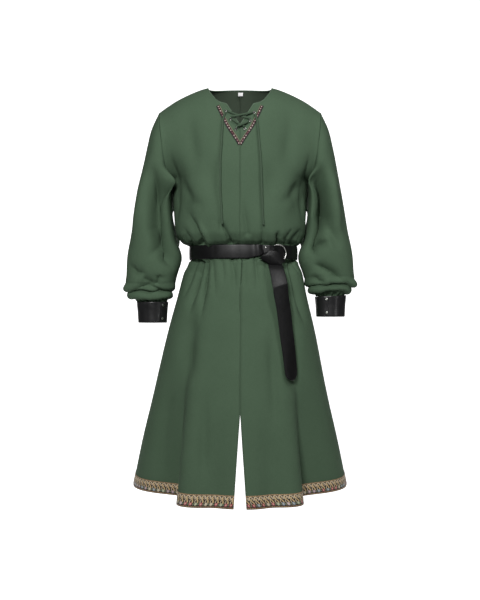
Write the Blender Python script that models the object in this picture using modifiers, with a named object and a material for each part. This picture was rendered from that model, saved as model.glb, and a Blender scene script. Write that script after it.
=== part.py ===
"""Laced medieval tunic with a ring belt, worn form with no wearer, in metres.

+Z is up, the front faces -Y and +X is the wearer's left. The origin is midway between the two
neck points, at shoulder height. Every cloth wall is built outward from one form, body(), or
from the sleeve sections.
"""

import math

import bpy
import numpy as np
from mathutils import Vector

GAP = 0.0003
CLOTH = 0.0015
LEATHER = 0.003
RIBBON = 0.001

# Body: (height, half width, front depth, back depth, sideways shift) of the worn form.
BODY_SECTIONS = (
    (-1.085, 0.286, 0.226, 0.215, 0.000),
    (-0.950, 0.2615, 0.204, 0.195, 0.000),
    (-0.800, 0.2285, 0.178, 0.170, 0.001),
    (-0.655, 0.197, 0.152, 0.146, 0.004),
    (-0.560, 0.173, 0.134, 0.128, 0.006),
    (-0.500, 0.158, 0.121, 0.117, 0.008),
    (-0.463, 0.1405, 0.106, 0.103, 0.009),
    (-0.422, 0.1405, 0.106, 0.103, 0.009),
    (-0.411, 0.160, 0.123, 0.116, 0.004),
    (-0.390, 0.1725, 0.135, 0.125, 0.001),
    (-0.340, 0.177, 0.138, 0.128, 0.000),
    (-0.250, 0.182, 0.135, 0.127, 0.000),
)
SIDE_ANGLE = math.pi / 2 - 1e-6
SQUARENESS = 2.25
ROUND = 2 / SQUARENESS
HEM_RISE = 0.019

# Yoke: neck points, shoulder points, armhole and neckline.
NECK_X = 0.086
BACK_NECK_Y = 0.080
BACK_NECK_Z = 0.013
SHOULDER_X = 0.215
SHOULDER_DROP = 0.060
ARMPIT_Z = -0.250
ARMHOLE_DEPTH = 0.075
NECKLINE_Z = (-0.118, -0.057, -0.0515, -0.043, -0.022, -0.008, 0.0)
NECKLINE_X = (GAP / 2, 0.0353, 0.0537, 0.0642, 0.0785, 0.0845, NECK_X)

# Slits: the front and back seams open below this height.
SLIT_TOP = -0.856
SLIT_HALF_WIDTH = 0.0155

# Skirt folds: (angle from centre front, depth outward at the hem, width towards the front,
# width towards the back, height where the fold starts), in degrees and metres.
FOLDS = (
    (-26, 0.012, 9, 9, -0.62),
    (-42, -0.080, 8, 24, -0.62),
    (27, 0.010, 9, 9, -0.66),
    (42, -0.076, 8, 24, -0.66),
    (-11, -0.008, 5, 6, -0.70),
    (14, -0.008, 5, 6, -0.66),
    (4, 0.006, 6, 6, -0.80),
    (-104, 0.010, 10, 10, -0.60),
    (104, 0.010, 10, 10, -0.60),
    (-126, -0.042, 12, 8, -0.58),
    (124, -0.046, 12, 8, -0.60),
    (-154, -0.014, 8, 8, -0.64),
    (152, -0.014, 8, 8, -0.66),
)

BELT_TOP = -0.4255
BELT_BOTTOM = -0.4615
TRIM_TOP = -1.052
LOWER_ROWS = (
    -1.085, TRIM_TOP, -0.990, -0.925, SLIT_TOP, -0.780, -0.690, -0.610, -0.545, -0.495,
    -0.463, -0.422, -0.411, -0.390, -0.330, ARMPIT_Z,
)
YOKE_ROWS = (-0.205, -0.160, -0.118, -0.088, -0.057, -0.0515, -0.043, -0.022, -0.008, 0.0)
COLUMNS = (0, 0.1, 0.2, 0.27, 0.33, 0.38, 0.43, 0.5, 0.59, 0.69, 0.8, 0.9, 1)

# Sleeve sections below the armhole: (outer x, outer z, inner x, inner z, half depth).
SLEEVE_SECTIONS = (
    (0.235, -0.102, 0.1865, -0.272, 0.078),
    (0.249, -0.162, 0.1858, -0.300, 0.077),
    (0.264, -0.235, 0.1840, -0.332, 0.074),
    (0.278, -0.310, 0.1805, -0.368, 0.071),
    (0.290, -0.385, 0.1740, -0.408, 0.068),
    (0.302, -0.448, 0.1660, -0.455, 0.067),
    (0.305, -0.500, 0.172, -0.503, 0.066),
    (0.306, -0.542, 0.181, -0.543, 0.058),
    (0.290, -0.563, 0.194, -0.564, 0.042),
)
SLEEVE_SIDES = 16
SLEEVE_END_INSIDE_CUFF = 0.014

# Cuffs: (centre x, top z, bottom z, half width at top, at bottom) for each side, and the angle
# of the flap's end, counted from the front towards the outer side.
CUFFS = {
    -1: (0.2365, -0.574, -0.630, 0.0395, 0.0352, -38),
    1: (0.2440, -0.558, -0.614, 0.0395, 0.0355, -12),
}
CUFF_DEPTH = 0.030
CUFF_LEATHER = 0.0022
CUFF_SIDES = 32
FLAP_OVERLAP = 32

LACE_RADIUS = 0.0024
EYELET_RADIUS = 0.0028
EYELET_WIRE = 0.0009
BINDING_RADIUS = 0.0014
V_LEAN = math.radians(30)
LABEL_LEFT = -0.0051
LABEL_WIDTH = 0.0134
LABEL_TOP = 0.0072
LABEL_HEIGHT = 0.010
LABEL_IN_FRONT = 0.0022
EYELETS = {
    -1: ((0.0366, -0.079), (0.0239, -0.102), (0.0104, -0.1295)),
    1: ((0.0366, -0.083), (0.0268, -0.1070), (0.0122, -0.129)),
}
LACE_ENDS = {
    -1: ((0.0388, -0.090), (0.0450, -0.112), (0.0469, -0.165), (0.0502, -0.219),
         (0.0500, -0.286), (0.0470, -0.330), (0.0453, -0.376)),
    1: ((0.0388, -0.094), (0.0445, -0.112), (0.0471, -0.147), (0.0525, -0.219),
        (0.0543, -0.286), (0.0560, -0.330), (0.0580, -0.378)),
}

V_TRIM_WIDTH = 0.009
V_TRIM_PATH = ((0.0003, -0.166), (0.0120, -0.148), (0.0320, -0.118), (0.0450, -0.092),
               (0.0575, -0.063))

RING_X = 0.087
RING_Z = -0.4478
RING_RADIUS = 0.0228
RING_WIRE = 0.0017
# Leather inside the ring, and the front turn of the knot over it: corners as (x, z).
PAD_HALF_WIDTH = 0.0135
PAD_HALF_HEIGHT = 0.0140
WRAP_LOW_EDGE = ((0.035, -0.4555), (0.087, -0.4755))
WRAP_HIGH_EDGE = ((0.057, -0.4400), (0.103, -0.4640))
WRAP_ARCH = 0.0022
STUD_PLACE = (0.0560, -0.4335)
TAIL_WIDTH = 0.033
TAIL_PATH = ((0.0800, -0.478), (0.0872, -0.510), (0.0955, -0.541), (0.105, -0.600),
             (0.113, -0.660), (0.1215, -0.720), (0.1285, -0.773))

COLOURS = {
    "green_cloth": ((0.082, 0.130, 0.082, 1), 0.85, 0),
    "jacquard_ribbon": ((0.20, 0.15, 0.10, 1), 0.7, 0),
    "burgundy_ribbon": ((0.08, 0.015, 0.02, 1), 0.7, 0),
    "black_leather": ((0.010, 0.010, 0.011, 1), 0.4, 0),
    "steel": ((0.55, 0.55, 0.53, 1), 0.3, 1),
    "white_label": ((0.85, 0.85, 0.85, 1), 0.8, 0),
}


def new_collection(name):
    collection = bpy.data.collections.new(name)
    bpy.context.scene.collection.children.link(collection)
    return collection


def new_material(name):
    colour, roughness, metallic = COLOURS[name]
    material = bpy.data.materials.new(name)
    material.use_nodes = True
    shader = material.node_tree.nodes["Principled BSDF"]
    shader.inputs["Base Color"].default_value = colour
    shader.inputs["Roughness"].default_value = roughness
    shader.inputs["Metallic"].default_value = metallic
    return material


def add_object(name, data, material):
    """Link a new object that carries its own copy of a named material."""
    thing = bpy.data.objects.new(name, data)
    data.materials.append(new_material(material))
    tunic.objects.link(thing)
    return thing


def wall(name, grid, thickness, material, closed=False):
    """Cloth or leather wall: an open grid of faces, thickened outward."""
    rows, columns = grid.shape[:2]
    faces = []
    for row in range(rows - 1):
        for column in range(columns if closed else columns - 1):
            right = (column + 1) % columns
            low, high = row * columns, (row + 1) * columns
            faces.append((low + column, low + right, high + right, high + column))
    mesh = bpy.data.meshes.new(name)
    mesh.from_pydata(grid.reshape(-1, 3).tolist(), [], faces)
    thing = add_object(name, mesh, material)
    solidify = thing.modifiers.new("wall", "SOLIDIFY")
    solidify.thickness = thickness
    solidify.offset = 1
    mesh.shade_smooth()
    mesh.set_sharp_from_angle(angle=math.radians(40))
    return thing


def cord(name, points, radius, material):
    """Round cord with filled caps on a line of straight spans."""
    curve = bpy.data.curves.new(name, "CURVE")
    curve.dimensions = "3D"
    curve.bevel_depth = radius
    curve.bevel_resolution = 2
    curve.use_fill_caps = True
    spline = curve.splines.new("POLY")
    spline.points.add(len(points) - 1)
    for point, place in zip(spline.points, points):
        point.co = (*place, 1)
    return add_object(name, curve, material)


def through(x, places, values):
    """Smooth curve through (places, values): cubic spans with the slopes of np.gradient."""
    places = np.asarray(places, float)
    values = np.asarray(values, float)
    slope = np.gradient(values, places)
    span = np.clip(np.searchsorted(places, x) - 1, 0, len(places) - 2)
    width = places[span + 1] - places[span]
    t = np.clip((x - places[span]) / width, 0, 1)
    start = (1 + 2 * t) * (1 - t) ** 2 * values[span]
    start = start + t * (1 - t) ** 2 * width * slope[span]
    end = t * t * (3 - 2 * t) * values[span + 1]
    return start + end + t * t * (t - 1) * width * slope[span + 1]


def between(x, places, values):
    """Straight spans through (places, values)."""
    return np.interp(x, places, values)


def power(value, exponent):
    return np.sign(value) * np.abs(value) ** exponent


def fold_depth(angle, height):
    """Outward push of the skirt folds: each is a bell in angle that grows towards the hem."""
    degrees = np.degrees(angle)
    push = np.zeros_like(degrees)
    for centre, depth, to_front, to_back, top in FOLDS:
        away = degrees - centre
        towards_back = away * np.sign(centre) > 0
        width = np.where(towards_back, to_back, to_front)
        growth = np.clip((top - height) / (top - BODY_SECTIONS[0][0]), 0, 1)
        push += depth * growth ** 1.3 * np.exp(-((away / width) ** 2))
    return push


def body(angle, height):
    """Inner face of the body cloth.

    angle runs from centre front (0) to the wearer's left side (pi/2) and centre back (pi).
    height is the height on the centre line; above the armpit a row climbs over the shoulder:
    rise = sin(pi t/2), and the row ends in the armhole's oval.
    """
    angle, height = np.broadcast_arrays(np.asarray(angle, float), np.asarray(height, float))
    heights, halves, fronts, backs, shifts = zip(*BODY_SECTIONS)
    low = np.minimum(height, ARMPIT_Z)
    in_front = np.cos(angle) > 0
    facing = np.where(in_front, -1, 1)
    across = power(np.sin(angle), ROUND)
    along = np.abs(np.cos(angle)) ** ROUND
    half = between(low, heights, halves)
    depth = np.where(in_front, between(low, heights, fronts), between(low, heights, backs))
    push = fold_depth(angle, low)

    climb = np.clip((height - ARMPIT_Z) / -ARMPIT_Z, 0, 1)
    t = np.arcsin(climb) * 2 / math.pi
    side = (np.where(in_front, np.abs(angle), math.pi - np.abs(angle)) / (math.pi / 2)) ** 3
    x = between(low, heights, shifts) + across * (half + (SHOULDER_X - half) * climb)
    x = x + push * np.sin(angle)

    top_x = SHOULDER_X * np.abs(across)
    slope = np.clip((top_x - NECK_X) / (SHOULDER_X - NECK_X), 0, 1)
    neck = np.where(in_front, 0, np.clip(1 - (top_x / NECK_X) ** 2, 0, 1))
    top_z = BACK_NECK_Z * neck - SHOULDER_DROP * slope ** 1.3
    rise = (1 - side) * climb + side * (1 - np.cos(math.pi * t)) / 2
    skirt = np.clip((SLIT_TOP - low) / (SLIT_TOP - heights[0]), 0, 1)
    z = low + HEM_RISE * skirt * np.sin(angle) ** 2 + (top_z - ARMPIT_Z) * rise

    top_y = BACK_NECK_Y * np.sqrt(neck)
    lean = (1 - neck) * np.cos(math.pi / 2 * t) + neck * (1 - climb ** 2)
    y = facing * (top_y + (depth * along - top_y) * lean)
    y = y + facing * ARMHOLE_DEPTH * side * np.sin(math.pi * t) - push * np.cos(angle)
    return np.stack([x, y, z], axis=-1)


def angle_at(x, height):
    """Angle from centre front of the form's point at distance x from the centre line."""
    heights, halves, _, _, _ = zip(*BODY_SECTIONS)
    half = between(np.minimum(height, ARMPIT_Z), heights, halves)
    climb = np.clip((np.asarray(height) - ARMPIT_Z) / -ARMPIT_Z, 0, 1)
    half = half + (SHOULDER_X - half) * climb
    return np.arcsin(np.clip(np.asarray(x) / half, 0, 1) ** (1 / ROUND))


def edge_x(height, in_front):
    """Half width of the opening at the centre line: slit, seam gap or neckline."""
    slit = SLIT_HALF_WIDTH * np.clip((SLIT_TOP - height) / (SLIT_TOP - LOWER_ROWS[0]), 0, 1)
    if in_front:
        return np.maximum(GAP / 2, slit) + between(height, NECKLINE_Z, NECKLINE_X) - GAP / 2
    return np.maximum(GAP / 2, slit)


def panel_grid(side, in_front):
    """Grid of one quarter of the body, rows upward, columns in growing angle."""
    rows = np.array(LOWER_ROWS + YOKE_ROWS)
    start = angle_at(edge_x(rows, in_front), rows)
    columns = np.array(COLUMNS)
    angle = start[:, None] + (SIDE_ANGLE - start[:, None]) * columns[None, :]
    if not in_front:
        angle = math.pi - angle
    grid = body(side * angle, rows[:, None] + 0 * angle)
    edge = GAP / 2 if in_front else -GAP / 2
    grid[..., 1] -= edge
    if (side > 0) != in_front:
        grid = grid[:, ::-1]
    return grid


def normals(grid, closed=False):
    """Outward unit normals of a grid."""
    if closed:
        wide = np.concatenate([grid[:, -1:], grid, grid[:, :1]], axis=1)
        across = np.gradient(wide, axis=1)[:, 1:-1]
    else:
        across = np.gradient(grid, axis=1)
    up = np.gradient(grid, axis=0)
    normal = np.cross(across, up)
    return normal / np.linalg.norm(normal, axis=-1, keepdims=True)


def on_body(side, x, height, lift):
    """Points of the front form at x and height, moved out by lift."""
    x = np.asarray(x, float)
    height = np.asarray(height, float)
    angle = side * angle_at(x, height)
    place = body(angle, height)
    step = 0.004
    across = body(angle + step, height) - body(angle - step, height)
    up = body(angle, height + step) - body(angle, height - step)
    normal = np.cross(across, up)
    normal = normal / np.linalg.norm(normal, axis=-1, keepdims=True)
    return place + normal * lift


def along_curve(points, share):
    """Points at shares of the length of a smooth curve through a few hand-set points."""
    points = np.asarray(points, float)
    length = np.concatenate([[0], np.cumsum(np.linalg.norm(np.diff(points, axis=0), axis=1))])
    place = np.asarray(share) * length[-1]
    return np.stack([through(place, length, column) for column in points.T], axis=-1)


def resample(points, count):
    """Evenly spaced points of the same curve."""
    return along_curve(points, np.linspace(0, 1, count))


def build_body():
    """The four body panels, with the neck, armholes, hem and slits open."""
    for side, hand in ((-1, "right"), (1, "left")):
        for in_front, face in ((True, "front"), (False, "back")):
            wall(f"{face}_{hand}", panel_grid(side, in_front), CLOTH, "green_cloth")


def build_hem_trims():
    """Ribbon on the hem of each half, from the front slit round the side to the back slit."""
    for side, hand in ((-1, "right"), (1, "left")):
        front = panel_grid(side, True)[:2]
        back = panel_grid(side, False)[:2]
        halves = (front, back) if side > 0 else (back, front)
        grid = np.concatenate([halves[0], halves[1][:, 1:]], axis=1)
        grid = grid + normals(grid) * (CLOTH + GAP)
        wall(f"hem_trim_{hand}", grid, RIBBON, "jacquard_ribbon")


def armhole(side, turn):
    """Oval where the sleeve starts: turn is 0 at the shoulder point and grows to the front."""
    rise = (1 + np.cos(turn)) / 2
    t = np.arccos(1 - 2 * rise) / math.pi
    half = BODY_SECTIONS[-1][1]
    x = half + (SHOULDER_X - half) * np.sin(math.pi / 2 * t)
    z = ARMPIT_Z - (SHOULDER_DROP + ARMPIT_Z) * rise
    return np.stack([side * x, -ARMHOLE_DEPTH * np.sin(turn), z], axis=-1)


def sleeve_grid(side):
    """Rings of the sleeve from the end inside the cuff up to the armhole."""
    turn = np.linspace(0, 2 * math.pi, SLEEVE_SIDES, endpoint=False)
    top = armhole(side, turn)
    top[:, 0] += side * (2 * CLOTH + GAP)
    rings = [top]
    for outer_x, outer_z, inner_x, inner_z, depth in SLEEVE_SECTIONS:
        place = (1 + power(np.cos(turn), ROUND)) / 2
        x = inner_x + (outer_x - inner_x) * place
        z = inner_z + (outer_z - inner_z) * place
        rings.append(np.stack([side * x, -depth * power(np.sin(turn), ROUND), z], axis=-1))
    centre, cuff_top, _, half, _, _ = CUFFS[side]
    lift = cuff_top - CUFFS[-1][1]
    for ring, share in zip(rings[-3:], (0.5, 0.8, 1)):
        ring[:, 2] += lift * share
    for drop in (0.0005, -SLEEVE_END_INSIDE_CUFF):
        x = centre + (half - 0.006) * np.cos(turn)
        y = -(CUFF_DEPTH - 0.006) * np.sin(turn)
        rings.append(np.stack([side * x, y, np.full_like(x, cuff_top + drop)], axis=-1))
    grid = np.stack(rings[::-1])
    return grid if side < 0 else grid[:, ::-1]


def build_sleeves():
    for side, hand in ((-1, "right"), (1, "left")):
        wall(f"sleeve_{hand}", sleeve_grid(side), CLOTH, "green_cloth", closed=True)


def cuff_place(side, degrees, height, lift):
    """Point of a cuff: degrees from the front towards the outer side, height 0 to 1, lift out."""
    centre, top, bottom, half_top, half_bottom, _ = CUFFS[side]
    half = half_bottom + (half_top - half_bottom) * height
    turn = np.radians(degrees)
    depth = CUFF_DEPTH * half / half_top
    x = side * (centre + (half + lift) * np.sin(turn))
    y = -(depth + lift) * np.cos(turn)
    return np.stack([x, y, bottom + (top - bottom) * height + 0 * x], axis=-1)


def build_cuffs():
    """Each cuff is one strip of leather wrapped round, its flap over its other end."""
    for side, hand in ((-1, "right"), (1, "left")):
        flap = CUFFS[side][5]
        step = (360 + FLAP_OVERLAP) / CUFF_SIDES
        degrees = flap - FLAP_OVERLAP - 360 + step * np.arange(CUFF_SIDES + 1)
        over = np.clip((degrees - (flap - FLAP_OVERLAP - 30)) / 30, 0, 1)
        lift = (CUFF_LEATHER + 2 * GAP) * over * over * (3 - 2 * over)
        height = np.array([0.0, 1.0])
        grid = cuff_place(side, degrees[None, :], height[:, None], lift[None, :])
        grid = grid if side > 0 else grid[:, ::-1]
        wall(f"cuff_{hand}", grid, CUFF_LEATHER, "black_leather")
        for number, height in ((1, 0.84), (2, 0.2)):
            place = cuff_place(side, flap - 6, height, 2 * CUFF_LEATHER + 4 * GAP)
            beyond = cuff_place(side, flap - 6, height, 0.02)
            add_disc(f"snap_{hand}_{number}", place, beyond - place, 0.0038, 0.0016)


def add_disc(name, place, axis, radius, height):
    """Round metal button standing on its place along an axis."""
    bpy.ops.mesh.primitive_cylinder_add(vertices=12, radius=radius, depth=height)
    disc = bpy.context.object
    disc.name = name
    for collection in list(disc.users_collection):
        collection.objects.unlink(disc)
    tunic.objects.link(disc)
    disc.data.materials.append(new_material("steel"))
    direction = Vector(axis).normalized()
    disc.rotation_mode = "QUATERNION"
    disc.rotation_quaternion = direction.to_track_quat("Z", "Y")
    disc.location = Vector(place) + direction * height / 2
    bevel = disc.modifiers.new("rim", "BEVEL")
    bevel.width = height * 0.4
    bevel.segments = 1
    return disc


def add_ring(name, place, axis, radius, wire, sides, wire_sides):
    """Steel ring lying square to an axis."""
    bpy.ops.mesh.primitive_torus_add(
        major_radius=radius, minor_radius=wire, major_segments=sides, minor_segments=wire_sides
    )
    ring = bpy.context.object
    ring.name = name
    for collection in list(ring.users_collection):
        collection.objects.unlink(ring)
    tunic.objects.link(ring)
    ring.data.materials.append(new_material("steel"))
    ring.rotation_mode = "QUATERNION"
    ring.rotation_quaternion = Vector(axis).normalized().to_track_quat("Z", "Y")
    ring.location = Vector(place)
    ring.data.shade_smooth()
    return ring


def build_neck_binding():
    """Rolled binding that runs just inside the edge of the neck and of the V."""
    clear = BINDING_RADIUS + 2 * GAP
    half_edge = []
    for height in (-0.1118, -0.100, -0.088, -0.074, -0.061):
        x = between(height, NECKLINE_Z, NECKLINE_X) - clear * math.cos(V_LEAN)
        half_edge.append(on_body(1, x, height + clear * math.sin(V_LEAN), CLOTH / 2))
    for x, height in ((0.0365, -0.0535), (0.0530, -0.0488), (0.0625, -0.0410), (0.0705, -0.0300),
                      (0.0765, -0.0200), (0.0815, -0.0100)):
        half_edge.append(on_body(1, x, height, CLOTH / 2))
    half_edge.append(np.array([NECK_X - clear - 0.0006, 0.0, 0.0032]))
    for angle in np.radians([22, 40, 58, 74, 90]):
        x = (NECK_X - 0.001) * math.cos(angle)
        y = (BACK_NECK_Y - 0.001) * math.sin(angle)
        half_edge.append(np.array([x, y, BACK_NECK_Z * math.sin(angle) ** 2 + clear + 0.0016]))
    left = np.array(half_edge)
    right = left[::-1][1:] * (-1, 1, 1)
    points = resample(np.concatenate([left, right]), 48)
    cord("neck_binding", points, BINDING_RADIUS, "green_cloth")


def build_v_trims():
    """Ribbon round the V, one arm on each side, 0.3 mm or more clear of the panels."""
    path = resample(V_TRIM_PATH, 12)
    heading = np.gradient(path, axis=0)
    heading = heading / np.linalg.norm(heading, axis=1, keepdims=True)
    sideways = np.stack([heading[:, 1], -heading[:, 0]], axis=-1)
    for side, hand in ((-1, "right"), (1, "left")):
        edges = []
        for share in (-0.5, 0, 0.5):
            edge = path + sideways * V_TRIM_WIDTH * share
            edge[:, 0] = np.maximum(edge[:, 0], GAP)
            edges.append(on_body(side, edge[:, 0], edge[:, 1], CLOTH + 3 * GAP))
        grid = np.stack(edges, axis=1)
        if side < 0:
            grid = grid[:, ::-1]
        wall(f"v_trim_{hand}", grid, RIBBON, "burgundy_ribbon")


def build_lacing():
    """Eyelets beside the V, the lace crossed between them, and its two free ends."""
    lift = CLOTH + EYELET_WIRE + 3 * GAP
    seats = {}
    for side, hand in ((-1, "right"), (1, "left")):
        for number, (x, height) in enumerate(EYELETS[side], 1):
            place = on_body(side, x, height, lift)
            axis = on_body(side, x, height, 0.02) - place
            add_ring(f"eyelet_{hand}_{number}", place, axis, EYELET_RADIUS, EYELET_WIRE, 12, 6)
            seats[side, number] = (x, height)
    over = lift + EYELET_WIRE + GAP + LACE_RADIUS
    crossings = (((-1, 1), (1, 2), 0), ((1, 1), (-1, 2), 1), ((-1, 2), (1, 3), 0),
                 ((1, 2), (-1, 3), 1))
    for number, (start, end, layer) in enumerate(crossings, 1):
        (x0, z0), (x1, z1) = seats[start], seats[end]
        first = on_body(start[0], x0 - 0.0035, z0 - 0.0022, over)
        last = on_body(end[0], x1 + 0.0005, z1 + 0.0045, over)
        share = np.linspace(0, 1, 9)[:, None]
        points = first + (last - first) * share
        bow = np.sin(math.pi * share[:, 0]) ** 0.7
        points[:, 1] -= bow * layer * (2 * LACE_RADIUS + 2 * GAP + 0.0008)
        points[:, 2] -= bow * 0.002
        cord(f"lace_cross_{number}", points, LACE_RADIUS, "green_cloth")
    rest = CLOTH + LACE_RADIUS + RIBBON + 5 * GAP
    for side, hand in ((-1, "right"), (1, "left")):
        route = resample(LACE_ENDS[side], 26)
        points = on_body(side, route[:, 0], route[:, 1], rest)
        cord(f"lace_end_{hand}", points, LACE_RADIUS, "green_cloth")


def build_belt():
    """Strap round the waist, ring at the wearer's left front, wrap over the ring and tail."""
    strap_lift = CLOTH + GAP
    columns = np.array(COLUMNS) * math.pi / 2
    quarter = np.concatenate([columns, math.pi - columns[::-1][1:]])
    turn = np.concatenate([quarter, 2 * math.pi - quarter[::-1][1:]])
    start = 0.62
    stop = 2 * math.pi + 0.40
    inner = turn[turn > start + 0.02]
    later = 2 * math.pi + columns[(columns < stop - 2 * math.pi - 0.02) & (columns > 0)]
    turn = np.concatenate([[start], inner, later, [stop]])
    heights = np.array([BELT_BOTTOM, BELT_TOP])
    grid = body(turn[None, :] + 0 * heights[:, None], heights[:, None] + 0 * turn[None, :])
    grid = grid + normals(grid) * strap_lift
    wall("belt_strap", grid, LEATHER, "black_leather")

    over_strap = strap_lift + LEATHER + 2 * GAP
    centre = on_body(1, RING_X, RING_Z, over_strap + RING_WIRE + 0.0010)
    axis = on_body(1, RING_X, RING_Z, 0.03) - centre
    add_ring("belt_ring", centre, axis, RING_RADIUS, RING_WIRE, 28, 8)

    # Leather seen inside the ring: the tail coming up from behind it.
    span = np.linspace(-1, 1, 5)
    rise = np.linspace(-1, 1, 4)
    x = RING_X + PAD_HALF_WIDTH * span[None, :] + 0 * rise[:, None]
    z = RING_Z + PAD_HALF_HEIGHT * rise[:, None] + 0 * span[None, :]
    pad = on_body(1, x, z, over_strap)
    wall("belt_inner", pad, 0.002, "black_leather")

    # Wrap: the strap's front turn, from the lower left down to the right over the ring.
    wrap_lift = over_strap + 2 * RING_WIRE + 0.0036
    low = np.linspace(*WRAP_LOW_EDGE, 7)
    high = np.linspace(*WRAP_HIGH_EDGE, 7)
    rows = []
    for share in np.linspace(0, 1, 4):
        arch = WRAP_ARCH * math.sin(math.pi * share)
        edge = low + (high - low) * share
        rows.append(on_body(1, edge[:, 0], edge[:, 1], wrap_lift + arch))
    wall("belt_wrap", np.stack(rows), 0.0022, "black_leather")

    share = np.sin(np.linspace(0, math.pi / 2, 17)) ** 0.9
    path = along_curve(TAIL_PATH, share)
    heading = np.gradient(path, axis=0)
    heading = heading / np.linalg.norm(heading, axis=1, keepdims=True)
    sideways = np.stack([-heading[:, 1], heading[:, 0]], axis=-1)
    along = np.concatenate([[0], np.cumsum(np.linalg.norm(np.diff(path, axis=0), axis=1))])
    left = (along[-1] - along) / (TAIL_WIDTH / 2)
    half = TAIL_WIDTH / 2 * np.sqrt(np.clip(1 - np.clip(1 - left, 0, 1) ** 2, 0.02, 1))
    rows = []
    for share in np.linspace(-1, 1, 4):
        edge = path + sideways * (half * share)[:, None]
        rows.append(on_body(1, edge[:, 0], edge[:, 1], strap_lift + 0.0030))
    grid = np.stack(rows, axis=1)
    wall("belt_tail", grid[::-1], 0.0028, "black_leather")

    stud = on_body(1, *STUD_PLACE, over_strap)
    beyond = on_body(1, *STUD_PLACE, 0.03)
    add_disc("belt_stud", stud, beyond - stud, 0.0024, 0.0014)


def build_label():
    """Small blank label hanging inside the back neck."""
    y = BACK_NECK_Y - LABEL_IN_FRONT
    heights = (LABEL_TOP - LABEL_HEIGHT, LABEL_TOP)
    grid = np.array([[(x, y, z) for x in (LABEL_LEFT, LABEL_LEFT + LABEL_WIDTH)] for z in heights])
    wall("neck_label", grid[:, ::-1], 0.001, "white_label")


for thing in list(bpy.data.objects):
    bpy.data.objects.remove(thing)
tunic = new_collection("medieval_surcoat_tunic")
build_body()
build_hem_trims()
build_sleeves()
build_cuffs()
build_neck_binding()
build_v_trims()
build_lacing()
build_belt()
build_label()
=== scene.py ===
"""Laced medieval tunic with a ring belt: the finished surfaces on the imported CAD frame.

Metres, +Z up, the front faces -Y, +X is the wearer's left. The cloth follows the same worn form
as the CAD walls, on a finer grid and with its creases.
"""

import math

import bpy
import numpy as np
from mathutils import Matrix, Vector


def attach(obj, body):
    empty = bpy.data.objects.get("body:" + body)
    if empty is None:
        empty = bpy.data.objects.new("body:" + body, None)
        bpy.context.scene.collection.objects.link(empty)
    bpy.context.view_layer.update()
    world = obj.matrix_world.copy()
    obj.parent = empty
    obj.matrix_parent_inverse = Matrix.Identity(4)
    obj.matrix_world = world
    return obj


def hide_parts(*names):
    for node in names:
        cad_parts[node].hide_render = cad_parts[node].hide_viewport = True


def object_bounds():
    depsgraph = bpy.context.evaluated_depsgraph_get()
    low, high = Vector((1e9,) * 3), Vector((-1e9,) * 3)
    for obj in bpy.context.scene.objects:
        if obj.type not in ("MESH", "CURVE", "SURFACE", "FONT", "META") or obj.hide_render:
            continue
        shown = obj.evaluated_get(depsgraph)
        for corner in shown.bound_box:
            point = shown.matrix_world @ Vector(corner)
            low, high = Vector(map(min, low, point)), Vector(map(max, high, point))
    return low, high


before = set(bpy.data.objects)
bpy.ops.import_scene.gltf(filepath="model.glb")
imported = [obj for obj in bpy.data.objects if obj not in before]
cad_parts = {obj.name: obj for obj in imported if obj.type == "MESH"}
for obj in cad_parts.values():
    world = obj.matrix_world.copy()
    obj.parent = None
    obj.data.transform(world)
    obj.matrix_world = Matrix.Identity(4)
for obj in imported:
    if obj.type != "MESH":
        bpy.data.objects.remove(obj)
cad_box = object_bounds()
SIDES = ((-1, "right"), (1, "left"))

# Studio: a level camera 2.6 m in front of the garment, soft lights, and a pale floor that
# sweeps up into a white backdrop.
CAMERA_DISTANCE = 2.6
CAMERA_HEIGHT = -0.569
FLOOR_Z = cad_box[0][2] - 0.30

camera = bpy.data.objects.new("camera", bpy.data.cameras.new("camera"))
camera.data.lens = 57.8
camera.location = (0.0, -CAMERA_DISTANCE, CAMERA_HEIGHT)
camera.rotation_euler = (math.pi / 2, 0, 0)
bpy.context.scene.collection.objects.link(camera)
bpy.context.scene.camera = camera
bpy.context.scene.view_settings.view_transform = "Standard"


def area_light(name, place, target, width, height, watts):
    """Rectangular soft light at a place, aimed at a target."""
    light = bpy.data.lights.new(name, "AREA")
    light.shape = "RECTANGLE"
    light.size = width
    light.size_y = height
    light.energy = watts
    lamp = bpy.data.objects.new(name, light)
    lamp.location = place
    aim = np.array(target) - np.array(place)
    lamp.rotation_euler = (
        math.atan2(math.hypot(aim[0], aim[1]), -aim[2]), 0, math.atan2(-aim[0], aim[1])
    )
    bpy.context.scene.collection.objects.link(lamp)


area_light("key_light", (-0.40, -2.35, 0.42), (0, 0, -0.30), 0.6, 0.6, 46)
area_light("gloss_light", (0.92, -1.20, 1.15), (0.06, 0, -0.50), 0.45, 0.45, 13)
area_light("cuff_light", (1.28, -1.47, -0.62), (0.24, 0, -0.60), 0.11, 0.4, 1.4)

world = bpy.data.worlds.new("studio")
world.use_nodes = True
sky = world.node_tree.nodes["Background"].inputs
sky["Color"].default_value = (1, 1, 1, 1)
sky["Strength"].default_value = 0.06
bpy.context.scene.world = world


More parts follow.
